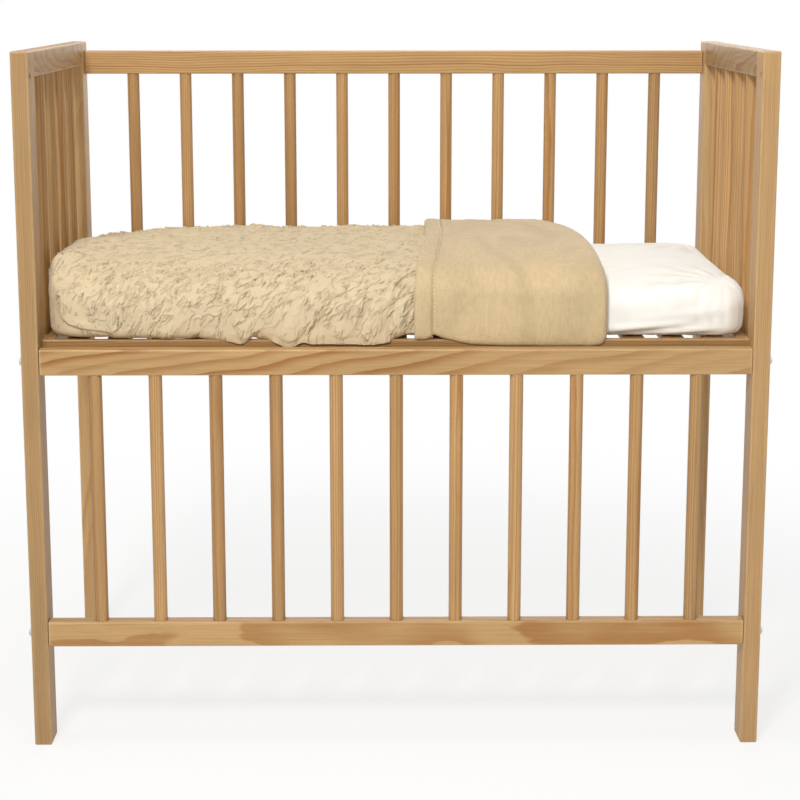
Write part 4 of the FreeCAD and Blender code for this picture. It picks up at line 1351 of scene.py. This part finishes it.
@dataclass
class Quilt:
    """The crinkled cotton quilt over the left part of the bed, tucked in at the end and the sides.

    Attributes:
        shop: The shared node groups.
        core: The mattress that it lies on.
        fine: Size of the squares up the front and the back, to the shoulder.
        plain: Size of the squares round the end and over the top.
        every: Outer squares in one of the inner side's.
        low: Height of its smooth form's lower edge.
        front_limit: How far forward it may stand.
        left_limit: How far to the left it may stand.
        most_settled: How far it may settle.
        weld: Points closer than this are joined.
        middle: Its middle, along X.
        groove_depth: Depth of the shadow line at the corner fold.
        ledge_height: How far the cloth stands out beside that line.
        coarse: Rows and columns of the grid that settles.
        cotton: Its cloth.
        hem_spots: Places along the front where its hem's height is given.
        hem_levels: The height at each.
        folds: The large folds on its front.
    """

    shop: Shop
    core: Object
    fine: float = 0.00100
    plain: float = 0.0026
    every: int = 4
    low: float = 0.5372
    front_limit: float = -0.2110
    left_limit: float = -0.4522
    most_settled: float = 0.005
    weld: float = 0.00012
    middle: float = -0.2
    groove_depth: float = 0.0100
    ledge_height: float = 0.0046
    coarse: tuple[int, int] = (34, 160)
    # The quilt's second colour is painted shade, for the creases' hollows and the corner fold's shadow line.
    cotton: ClothFinish = ClothFinish(paint(221, 202, 167), paint(108, 78, 48), threads=1100.0, slub=0.5,
                                      nap=620.0, nap_shade=0.022, relief=0.00035, sheen=0.05, crinkle=0.0015)
    hem_spots: tuple[float, ...] = (-0.45, -0.33, -0.25, -0.198, -0.173, -0.145, -0.128, -0.117, -0.093,
                                    -0.059, -0.027, -0.007, 0.009, 0.026, 0.06)
    hem_levels: tuple[float, ...] = (0.5374, 0.5374, 0.5362, 0.5341, 0.5360, 0.5315, 0.5282, 0.5300, 0.5312,
                                     0.5315, 0.5302, 0.5341, 0.5405, 0.5440, 0.5440)
    folds: tuple[Fold, ...] = (
        Fold((-0.205, 0.533), (-0.150, 0.575), 0.0042, 0.0110, 1.8),
        Fold((-0.190, 0.530), (-0.176, 0.552), -0.0035, 0.0050),
        Fold((-0.148, 0.532), (-0.108, 0.572), 0.0048, 0.0110, 1.8),
        Fold((-0.128, 0.528), (-0.092, 0.566), -0.0036, 0.0055),
        Fold((-0.150, 0.585), (-0.098, 0.640), -0.0036, 0.0046),
        Fold((-0.138, 0.586), (-0.086, 0.634), 0.0036, 0.0065),
        Fold((-0.352, 0.545), (-0.346, 0.580), -0.0030, 0.0045),
        Fold((-0.362, 0.545), (-0.354, 0.585), 0.0026, 0.0060),
        Fold((-0.300, 0.538), (-0.262, 0.575), 0.0034, 0.0100, 1.5),
        Fold((-0.262, 0.535), (-0.232, 0.560), -0.0024, 0.0060),
        Fold((-0.035, 0.545), (0.012, 0.632), 0.0040, 0.0070, 1.6),
        Fold((-0.022, 0.541), (0.020, 0.618), -0.0036, 0.0045),
        Fold((-0.052, 0.548), (-0.020, 0.600), -0.0030, 0.0050),
        Fold((-0.010, 0.545), (0.024, 0.604), 0.0034, 0.0060, 1.6),
        Fold((-0.075, 0.540), (-0.044, 0.590), 0.0032, 0.0085, 1.4),
        Fold((-0.408, 0.556), (-0.372, 0.545), 0.0030, 0.0070),
    )

    def form(self) -> CoverForm:
        """The quilt's outer form."""
        return CoverForm(left=-0.4490, right=0.052, half=0.2080, corner=0.046,
                         front=Profile(self.low, 0.012, 0.6215, 0.050),
                         back=Profile(self.low, 0.016, 0.6340, 0.026), peak=0.6368, closed=False,
                         spine=(-0.300, 0.052), bulge=0.0016)

    def drape(self, grid: Array, cloth: Array) -> Array:
        """Adds the large soft shapes: swells, folds and the hanging hem.

        Args:
            grid: The smooth form.
            cloth: Its cloth coordinates.

        Returns:
            The shaped points.
        """
        x, y, z = np.moveaxis(grid, 2, 0)
        a, c, climb = cloth[..., 0] + 2, cloth[..., 1] + 2, cloth[..., 2]
        noise = SmoothNoise(3)
        swell = 0.0030 * noise.at(a * 9 + 3, c * 10 + 7) + 0.0022 * noise.at(a * 21, c * 24 + 60)
        slant = 0.0030 * noise.at((a - c) * 24 + 99, (a + c) * 7.5) * smooth(0.0, 0.02, climb)
        front = smooth(-0.16, -0.19, y)
        lift = (swell + slant) * (0.3 + 0.7 * smooth(0.0, 0.03, climb))
        for fold in self.folds:
            start, end = np.array(fold.start), np.array(fold.end)
            run = end - start
            length = np.hypot(*run)
            run = run / length
            along = ((x - start[0]) * run[0] + (z - start[1]) * run[1]) / length
            bend = 0.0035 * noise.at(x * 30 + start[0] * 400, z * 30)
            away = ((x - start[0]) * run[1] - (z - start[1]) * run[0] + bend) / fold.width
            away = np.where(away > 0, away * fold.steep, away)
            ends = smooth(-0.12, 0.22, along) * smooth(1.15, 0.70, along)
            lift = lift + fold.height * front * ends * np.exp(-away ** 2)
        raised = (0.0075 * np.exp(-((x + 0.428) / 0.05) ** 2) * smooth(0.61, 0.63, z)
                  * smooth(0.13, -0.05, y))
        sunk = 0.013 * smooth(-0.28, -0.45, x) * smooth(-0.02, 0.18, y) * smooth(0.56, 0.62, z)
        shaped = grid + outward(grid, self.middle) * lift[..., None]
        shaped[..., 2] += raised - sunk
        level = through(x, self.hem_spots, self.hem_levels)
        shaped[..., 2] += (level - self.low) * front * smooth(0.055, 0.0, climb)
        hang = smooth(0.5362, 0.5335, level) * smooth(-0.10, -0.18, y) * smooth(0.026, 0.010, climb)
        shaped[..., 1] = shaped[..., 1] * (1 - hang) + np.minimum(shaped[..., 1], -0.2086) * hang
        press = smooth(0.004, 0.022, x) * smooth(0.634, 0.600, z)
        inner = np.clip(shaped[..., 1], -0.2008, 0.2008)
        shaped[..., 1] = shaped[..., 1] * (1 - press) + inner * press
        return shaped

    @staticmethod
    def corner_fold(grid: Array) -> tuple[Array, Array]:
        """The edge of the corner fold low at the left of the front.

        Args:
            grid: Points.

        Returns:
            How deep each point lies in the fold's shadow line, and how far it is set back.
        """
        x, y, z = np.moveaxis(grid, 2, 0)
        line = np.array([(-0.4335, 0.5900), (-0.4345, 0.5740), (-0.4295, 0.5610), (-0.4200, 0.5525),
                         (-0.4050, 0.5482), (-0.3860, 0.5462), (-0.3650, 0.5420)])
        away, side, _ = beside(x, z, line)
        near = smooth(-0.15, -0.18, y) * smooth(0.597, 0.582, z) * smooth(-0.355, -0.385, x)
        ledge = np.where(side > 0, -np.exp(-away / 0.018), 0.35 * np.exp(-away / 0.010))
        return np.exp(-(away / 0.0030) ** 2) * near, ledge * near

    def strokes(self) -> list[tuple[Array, float, float]]:
        """Draws the paths of the creases on the cloth spread flat.

        Returns:
            For each crease its points, its height and its width.
        """
        draw, stride = np.random.default_rng(77), 0.002
        made = []
        for low, high, count, heading, spread_out, length, tall in (
                ((-0.43, -0.300), (0.03, -0.168), 370, 0.95, 0.26, 0.0300, 0.00310),
                ((-0.43, -0.190), (0.03, 0.190), 320, 0.12, 0.45, 0.0100, 0.00200),
                ((-0.43, 0.172), (0.03, 0.300), 260, -0.95, 0.40, 0.0230, 0.00250),
                ((-0.54, -0.190), (-0.415, 0.190), 220, 0.55, 0.60, 0.0210, 0.00240)):
            for _ in range(count):
                at = draw.uniform(low, high)
                turn = draw.normal(heading, spread_out)
                steps = int(np.clip(draw.lognormal(math.log(length / stride), 0.45), 3, 22))
                points, way = [at], turn
                for _ in range(steps):
                    way += draw.normal(0, 0.50) + 0.45 * (turn - way)
                    at = at + stride * np.array([math.cos(way), math.sin(way)])
                    points.append(at)
                size = draw.uniform(0.5, 1.15)
                made.append((np.array(points), tall * size, 0.00088 * draw.uniform(0.85, 1.25)))
        return made

    def crinkle(self, cloth: Array) -> tuple[Array, Array]:
        """The short sharp creases of the crinkled cotton.

        Args:
            cloth: Cloth coordinates.

        Returns:
            Height of the creases in metres, and how far each point lies in the hollow beside one, which is
            painted as shade.
        """
        p, q = cloth[..., 0], cloth[..., 1]
        height, hollow = np.zeros(p.shape), np.zeros(p.shape)
        for points, tall, wide in self.strokes():
            low, high = points.min(0) - 0.006, points.max(0) + 0.006
            near = np.nonzero((p > low[0]) & (p < high[0]) & (q > low[1]) & (q < high[1]))
            if not len(near[0]):
                continue
            away, side, along = beside(p[near], q[near], points)
            taper = smooth(0.0, 0.3, along) * smooth(1.0, 0.75, along)
            across = away / wide * np.where(side > 0, 1.25, 0.8)
            ridge = tall * taper * np.exp(-across ** 1.5)
            dip = taper * np.exp(-((away * side / wide - 1.7) / 0.75) ** 2)
            height[near] = np.maximum(height[near], ridge) - 0.35 * tall * dip
            hollow[near] = np.maximum(hollow[near], dip)
        bend = SmoothNoise(21)
        grain = [size * bend.at((p + 2) * cells, (q + 2) * cells)
                 for size, cells in ((0.00030, 190), (0.00022, 400))]
        return height + sum(grain), hollow

    def spread(self) -> tuple[Array, Array]:
        """Where the outer side's rows and columns are: the back's columns mirror the front's.

        Returns:
            Shares of the way from hem to spine, and shares of the way round the plan.
        """
        fine, plain = ((self.fine, self.plain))
        line, reach = self.form().outline()
        turn = np.interp(-self.form().half + 0.012, line[::-1, 1], reach[::-1]) / reach[-1]
        side = round((1 - turn) * reach[-1] / fine)
        middle = round((2 * turn - 1) * reach[-1] / plain)
        middle += -(2 * side + middle) % self.every
        columns = np.concatenate([np.linspace(0, 1 - turn, side, endpoint=False),
                                  np.linspace(1 - turn, turn, middle, endpoint=False),
                                  np.linspace(turn, 1, side + 1)])
        low, high = round(0.140 / fine), round(0.145 / plain * 1.25)
        high += -(low + high) % self.every
        rows = np.concatenate([np.linspace(0, 0.50, low, endpoint=False), np.linspace(0.50, 1, high + 1)])
        return rows, columns

    def settle(self, rows: Array, columns: Array) -> Array:
        """How far the cloth moves when it settles, from a coarse simulation.

        Args:
            rows: Shares of the way from hem to spine.
            columns: Shares of the way round the plan.

        Returns:
            A step for each point.
        """
        small = self.drape(*self.form().grid(*[np.linspace(0, 1, count) for count in self.coarse]))
        held = np.zeros(small.shape[:2])
        held[:3] = 1.0
        held[:, :2] = held[:, -2:] = 1.0
        held[-1] = 0.4
        moved = Settling().run(small, held, self.core) - small
        size = np.linalg.norm(moved, axis=2, keepdims=True)
        log.info("quilt settled by up to %.1f mm, %.1f mm on average", size.max() * 1000, size.mean() * 1000)
        moved *= np.minimum(1.0, self.most_settled / np.maximum(size, 1e-9))
        return resample(moved, rows, columns)

    def outer(self, rows: Array, columns: Array) -> tuple[Array, Array, Array]:
        """The outer side with all its folds.

        Args:
            rows: Shares of the way from hem to spine.
            columns: Shares of the way round the plan.

        Returns:
            The points, their cloth coordinates and their depth in creases, which is painted as shade: the
            corner fold's shadow line, the hollows beside the creases and the set-back pouch.
        """
        grid, cloth = self.form().grid(rows, columns)
        grid = self.drape(grid, cloth)
        grid = grid + self.settle(rows, columns)
        groove, ledge = self.corner_fold(grid)
        crinkles, hollow = self.crinkle(cloth)
        calm = smooth(0.0, 0.004, cloth[..., 2]) * (1 - 0.75 * np.clip(-ledge, 0, 1))
        lift = crinkles * calm - self.groove_depth * groove + self.ledge_height * ledge
        grid = grid + outward(grid, self.middle) * lift[..., None]
        grid[..., 1] = np.clip(grid[..., 1], self.front_limit, -self.front_limit)
        grid[..., 0] = np.maximum(grid[..., 0], self.left_limit)
        # Painted shade: darker in the corner fold's shadow line, in the hollows beside the creases and on the
        # set-back pouch left of the fold.
        return grid, cloth, np.clip(1.5 * groove + 0.24 * hollow + 0.10 * np.clip(-ledge, 0, 1), 0, 1)

    def close_spine(self, grid: Array) -> None:
        """Brings the two halves together along the spine, and the end's columns together at its point."""
        spine = grid[-1]
        spine[:] = 0.5 * (spine + spine[::-1] * np.array([1, -1, 1]))
        at_point = spine[:, 0] < self.form().spine[0] + 0.0015
        spine[at_point] = spine[at_point].mean(0)

    def build(self) -> Object:
        """Builds the quilt, a closed shell with a fine outer side and a plain inner one.

        Returns:
            The piece.
        """
        every = self.every
        rows, columns = self.spread()
        outer, cloth, dark = self.outer(rows, columns)
        inner, inner_cloth = self.form().grid(rows[::every], columns[::every])
        inner = self.drape(inner, inner_cloth)
        filling = smooth(0.008, 0.045, inner_cloth[..., 2]) * smooth(0.030, -0.010, inner[..., 0])
        inner = inner - outward(inner, self.middle) * (0.0016 + 0.0030 * filling)[..., None]
        for side in (outer, inner):
            self.close_spine(side)
        fine = np.arange(dark.size).reshape(dark.shape)
        coarse = dark.size + np.arange(filling.size).reshape(filling.shape)
        faces = sheet_faces(*fine.shape) + sheet_faces(*coarse.shape, start=dark.size, flip=True)
        faces += wall_faces(fine[0], coarse[0], every, flip=True)
        faces += wall_faces(fine[:, 0], coarse[:, 0], every)
        faces += wall_faces(fine[:, -1], coarse[:, -1], every, flip=True)
        vertices = np.concatenate([outer.reshape(-1, 3), inner.reshape(-1, 3)])
        flat = np.concatenate([cloth.reshape(-1, 4), inner_cloth.reshape(-1, 4)])
        depth = np.concatenate([dark.ravel(), np.zeros(coarse.size)])
        material = self.cotton.make(self.shop, "crinkled_cotton")
        piece = Cloth("crinkled_quilt", material, "quilt_cotton").finish(
            vertices, faces, flat, depth, self.weld)
        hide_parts("quilt")
        return piece


@dataclass
class Blanket:
    """The fleece blanket, folded once, with a stitched hem along its left edge.

    Attributes:
        shop: The shared node groups.
        step: Size of its squares.
        cloth_thick: Thickness of the fleece.
        hem_width: Width of the stitched hem.
        roll: Rounding of the hem's fold.
        length: Length of the cloth across the bed.
        lower_left: Where the lower layer ends, along X.
        front_limit: How far forward it may stand.
        low: Height of its smooth form's lower edge.
        middle: Its middle, along X.
        stitch_size: Half the size of a stitch: across the hem, along it and up.
        stitch_pitch: Spacing of the stitches.
        fleece: Its cloth.
        thread: The stitches' thread.
    """

    shop: Shop
    step: float = 0.0030
    cloth_thick: float = 0.0034
    hem_width: float = 0.0215
    roll: float = 0.0022
    length: float = 0.62
    lower_left: float = 0.078
    front_limit: float = -0.2078
    low: float = 0.5368
    middle: float = 0.14
    stitch_size: tuple[float, float, float] = (0.0006, 0.0018, 0.0005)
    stitch_pitch: float = 0.0056
    # The fleece's second colour is painted shade, for the stitched groove of the hem.
    fleece: ClothFinish = ClothFinish(paint(210, 186, 145), paint(150, 122, 82), threads=500.0, slub=0.9,
                                      nap=300.0, nap_shade=0.060, relief=0.0005, sheen=0.30, brush=3.5,
                                      cloud=0.080)
    thread: ClothFinish = ClothFinish(paint(240, 226, 192), paint(200, 176, 130), threads=3000.0)

    @staticmethod
    def edges(y: Array) -> tuple[Array, Array]:
        """The left and right edges at places across the bed."""
        return (through(y, (-0.21, -0.144, 0.0, 0.10, 0.21), (0.0245, 0.0318, 0.0425, 0.0445, 0.0462)),
                through(y, (-0.21, -0.05, 0.04, 0.12, 0.17, 0.21),
                        (0.268, 0.2625, 0.2580, 0.2450, 0.2290, 0.2120)))

    @staticmethod
    def hem_level(x: Array) -> Array:
        """Height of the front's lower edge at places along the bed."""
        return np.interp(x, (0.022, 0.027, 0.033, 0.0405, 0.0465, 0.0500, 0.060, 0.080, 0.098, 0.130, 0.250,
                             0.262, 0.270),
                         (0.5420, 0.5378, 0.5368, 0.5376, 0.5422, 0.5432, 0.5390, 0.5340, 0.5308, 0.5292,
                          0.5282, 0.5300, 0.5368))

    @staticmethod
    def skin(count: int, half: float, front: Profile, back: Profile, peak: float) -> Array:
        """Points from the back hem over the top to the front hem, for one layer.

        Args:
            count: How many.
            half: Half its width.
            front: Its profile at the front.
            back: Its profile at the back.
            peak: Its height over the middle.

        Returns:
            Each point's y and z.
        """
        form = CoverForm(0, 1, half, 0.01, front, back, peak, False, (0, 1), bulge=0.0008)
        share = np.linspace(0, 1, 400)
        lines = []
        for profile, sign in ((back, 1), (front, -1)):
            inset, height, over, _ = form.rise(share, profile)
            far = np.where(over > 0, profile.shoulder + over * (half - profile.shoulder), inset)
            lines.append(np.stack([sign * (half - far), height], 1))
        whole = np.concatenate([lines[0], lines[1][-2::-1]])
        reach = lengths(whole)
        return walk(np.linspace(0, reach[-1], count), reach, whole)

    def layers(self) -> tuple[Array, Array, Array]:
        """The middle surface of the cloth: under the hem, round its fold, over the top, round and back.

        Returns:
            The points, as rows along the drape by columns along the cloth, their cloth coordinates, and
            each column's level, from 1 on the upper layer to -1 below it.
        """
        rows = round(self.length / self.step)
        half_thick = self.cloth_thick / 2
        upper = self.skin(rows, 0.2092 - half_thick, Profile(self.low, 0.0035, 0.6330 - half_thick, 0.042),
                          Profile(self.low, 0.0035, 0.6440 - half_thick, 0.028), 0.6466 - half_thick)
        lower = self.skin(rows, 0.1998 + half_thick, Profile(0.5392, 0.0035, 0.6065 + half_thick, 0.031),
                          Profile(0.5392, 0.0035, 0.6105 + half_thick, 0.027), 0.6200 + half_thick)
        gap = upper - lower
        size = np.linalg.norm(gap, axis=1)
        unit = gap / size[:, None]
        drop = np.minimum(2 * self.roll, size)
        turns = np.linspace(0, math.pi, 9)
        hem_steps, across = round(self.hem_width / self.step), round(0.235 / self.step)
        plan = [("hem", offset, 1.0) for offset in np.linspace(self.hem_width, self.roll, hem_steps)]
        plan += [("roll", self.roll * (1 - math.sin(angle)), (1 + math.cos(angle)) / 2)
                 for angle in turns[1:-1]]
        plan += [("upper", share, 0.0) for share in np.linspace(0, 1, across)]
        plan += [("turn", math.sin(angle), (1 - math.cos(angle)) / 2) for angle in turns[1:-1]]
        plan += [("lower", share, 1.0) for share in np.linspace(1, 0, across)]
        grid, cloth = np.zeros((rows, len(plan), 3)), np.zeros((rows, len(plan), 2))
        for number, (part, offset, level) in enumerate(plan):
            depth = size * level if part in ("turn", "lower") else drop * level
            section = upper - unit * depth[:, None]
            left, right = self.edges(section[:, 0])
            inner_right = right - size / 2
            if part in ("hem", "roll"):
                x = left + offset
            elif part == "upper":
                x = left + self.roll + (inner_right - left - self.roll) * offset
            elif part == "turn":
                x = inner_right + size / 2 * offset
            else:
                x = self.lower_left + (inner_right - self.lower_left) * offset
            grid[:, number] = np.stack([x, section[:, 0], section[:, 1]], 1)
        cloth[..., 0] = lengths(grid[rows // 2])
        cloth[..., 1] = np.linspace(0, self.length, rows)[:, None]
        return grid, cloth, np.array([1.0 if part == "upper" else -1.0 for part, _, _ in plan])

    def build(self) -> Object:
        """Builds the blanket.

        Returns:
            The blanket.
        """
        grid, cloth, layer = self.layers()
        x, y, z = np.moveaxis(grid, 2, 0)
        on_top = layer > 0
        out = outward(grid, self.middle, columns=on_top)
        noise = SmoothNoise(61)
        from_left = x - self.edges(y)[0]
        upper = on_top * smooth(0.0, 0.004, from_left)
        lift = 0.0014 * noise.at(x * 11, y * 9 + z * 8) + 0.0007 * noise.at(x * 30 + 7, y * 26 + z * 24)
        swirls = (0.0019 * noise.at(x * 14 + 70, y * 40 + 3 * np.sin(x * 20))
                  + 0.0009 * noise.at(x * 34, y * 90))
        lift += smooth(0.630, 0.640, z) * swirls
        stitch = np.exp(-((from_left - self.hem_width) / 0.0018) ** 2)
        lift = (lift - 0.0014 * stitch) * upper
        grid = grid + out * lift[..., None]
        front = smooth(-0.17, -0.20, grid[..., 1]) * smooth(0.585, 0.545, grid[..., 2]) * on_top
        grid[..., 2] -= (self.low - self.hem_level(grid[..., 0])) * front
        grid[..., 1] = np.clip(grid[..., 1], self.front_limit, -self.front_limit)
        # Painted shade: the stitched groove of the hem is darkened.
        dark = np.clip(stitch * upper * 0.6, 0, 1)
        piece = Cloth("fleece_blanket", self.fleece.make(self.shop, "tan_fleece"), "blanket_fleece").finish(
            grid.reshape(-1, 3), sheet_faces(*dark.shape), cloth.reshape(-1, 2), dark.ravel())
        thicken(piece, self.cloth_thick, offset=0.0, even=False)
        self.stitches(grid, out, from_left, layer)
        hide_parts("blanket")
        return piece

    def stitches(self, grid: Array, out: Array, from_left: Array, layer: Array) -> None:
        """Sews a line of stitches along the hem.

        Args:
            grid: The blanket's middle surface.
            out: Its normals.
            from_left: Each point's distance from the left edge.
            layer: Each column's level.
        """
        column = int(np.argmin(np.abs(from_left[len(grid) // 2] - self.hem_width) + 9.0 * (layer < 0)))
        line = grid[:, column] + out[:, column] * (self.cloth_thick / 2 + 0.0001)
        reach = lengths(line)
        bpy.ops.mesh.primitive_uv_sphere_add(segments=6, ring_count=4, radius=1.0, location=(0, 0, 0))
        bead = bpy.context.object
        bpy.ops.transform.resize(value=self.stitch_size)
        bpy.ops.object.transform_apply(location=False, rotation=False, scale=True)
        stops = np.arange(0.012, reach[-1] - 0.010, self.stitch_pitch)
        copies = [bead] + [add_object("stitch", bead.data.copy()) for _ in stops[1:]]
        for copy, stop in zip(copies, stops):
            here, ahead = (Vector(walk(at, reach, line)) for at in (stop, stop + 0.002))
            side = Vector(walk(stop, reach, out[:, column])).normalized()
            along = (ahead - here).normalized()
            turn = Matrix((along.cross(side).normalized(), along, side)).transposed().to_4x4()
            copy.data.transform(Matrix.Translation(here) @ turn)
        select(*copies)
        bpy.ops.object.join()
        bpy.ops.object.shade_smooth()
        bead.name = "blanket_stitches"
        bead.data.materials.append(self.thread.make(self.shop, "hem_thread"))
        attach(bead, "bedding")


# --- picture -------------------------------------------------------------------------------------


@dataclass
class Studio:
    """The pale floor, the soft lamps and the camera at the photograph's angle.

    Attributes:
        eye: The camera's place.
        turn: How far it is turned to the right, in degrees.
        pitch: How far it looks down, in degrees.
        lens: Its focal length, in millimetres.
        shift: Its upward shift, as a share of the picture's width.
        paper: The floor's colour.
        fade: Distances at which the floor begins to turn white, and at which it is white.
        even: Strength of the world's even light.
    """

    eye: tuple[float, float, float] = (-0.0164, -2.5623, 0.9762)
    turn: float = 0.517
    pitch: float = 10.459
    lens: float = 84.37
    shift: float = -0.08
    paper: Colour = (0.93, 0.93, 0.925)
    fade: Pair = (0.55, 1.6)
    even: float = 0.23

    def camera(self) -> None:
        """Makes the camera."""
        made = bpy.data.cameras.new("camera")
        made.lens, made.sensor_width, made.shift_y = self.lens, 36.0, self.shift
        camera = add_object("camera", made)
        camera.location = self.eye
        camera.rotation_euler = (math.radians(90 - self.pitch), 0.0, math.radians(-self.turn))
        bpy.context.scene.camera = camera

    def floor(self) -> None:
        """Makes the floor, which fades to the background's white and keeps the shadow."""
        bpy.ops.mesh.primitive_circle_add(vertices=96, radius=9.0, fill_type="NGON", location=(0, 0, 0))
        floor = bpy.context.object
        floor.name = "studio_floor"
        material, wires, shader = begin_material("studio_floor")
        wires.fill(shader, {"Base Color": (*self.paper, 1), "Roughness": 0.9, "Specular IOR Level": 0.1})
        place = wires.node("TexCoord").outputs["Object"]
        reach = wires.node("VectorMath", {0: place}, operation="LENGTH").outputs["Value"]
        share = wires.times(wires.ramp(reach, *self.fade, 0.78, 1.0), wires.direct())
        glow = wires.node("Emission", {"Color": (1, 1, 1, 1), "Strength": 1.0})
        blend = wires.node("MixShader", {0: share, 1: shader.outputs[0], 2: glow.outputs[0]})
        wires.fill(wires.tree.nodes["Material Output"], {"Surface": blend.outputs[0]})
        floor.data.materials.append(material)

    def lamps(self) -> None:
        """Makes the world's even light and the soft lamps."""
        world = bpy.data.worlds.new("studio")
        bpy.context.scene.world = world
        world.use_nodes = True
        wires = Wiring(world.node_tree)
        even = wires.node("Background", {"Color": (1.0, 0.995, 0.985, 1), "Strength": self.even})
        white = wires.node("Background", {"Color": (1, 1, 1, 1), "Strength": 1.0})
        blend = wires.node("MixShader", {0: wires.direct(), 1: even.outputs[0], 2: white.outputs[0]})
        wires.fill(wires.tree.nodes["World Output"], {"Surface": blend.outputs[0]})
        for name, place, aim, size, power in (
                ("key", (-0.7, -2.6, 2.6), (0.0, 0.0, 0.45), 0.6, 69.0),
                ("top", (-0.2, -0.3, 3.2), (0.0, 0.0, 0.5), 1.4, 24.0),
                ("fill", (1.4, -2.8, 1.0), (0.0, 0.0, 0.45), 1.6, 8.0),
                ("back", (0.3, 2.8, 1.6), (0.0, 0.0, 0.5), 2.0, 21.0),
                ("left", (-3.2, 0.4, 1.2), (0.0, 0.0, 0.5), 2.0, 9.0),
                ("right", (3.2, 0.4, 1.2), (0.0, 0.0, 0.5), 2.0, 9.0)):
            lamp = bpy.data.lights.new(name, "AREA")
            lamp.shape, lamp.size, lamp.energy = "SQUARE", size, power
            lamp.color = (1.0, 0.985, 0.96)
            holder = add_object(name, lamp)
            holder.location = place
            holder.rotation_euler = (Vector(aim) - Vector(place)).to_track_quat("-Z", "Y").to_euler()

    def build(self) -> None:
        """Makes the floor, the lamps and the camera."""
        self.camera()
        self.floor()
        self.lamps()
        bpy.context.scene.view_settings.view_transform = "Standard"


def main() -> None:
    """Dresses the frame, makes the bedding and sets up the picture."""
    logging.basicConfig(level=logging.INFO, format="%(name)s: %(message)s")
    shop = Shop(growth_rings(), wood_fibre(), arris_wear_and_highlight(), plain_weave(), fine_crinkle(), cloth_mottle())
    Studio().build()
    WoodenFrame(shop).build()
    core, sheet = Mattress(shop).build()
    quilt = Quilt(shop, core).build()
    blanket = Blanket(shop).build()
    for piece in (core, sheet, quilt, blanket):
        log.info("%s: %d points", piece.name, len(piece.data.vertices))


if __name__ == "__main__":
    main()
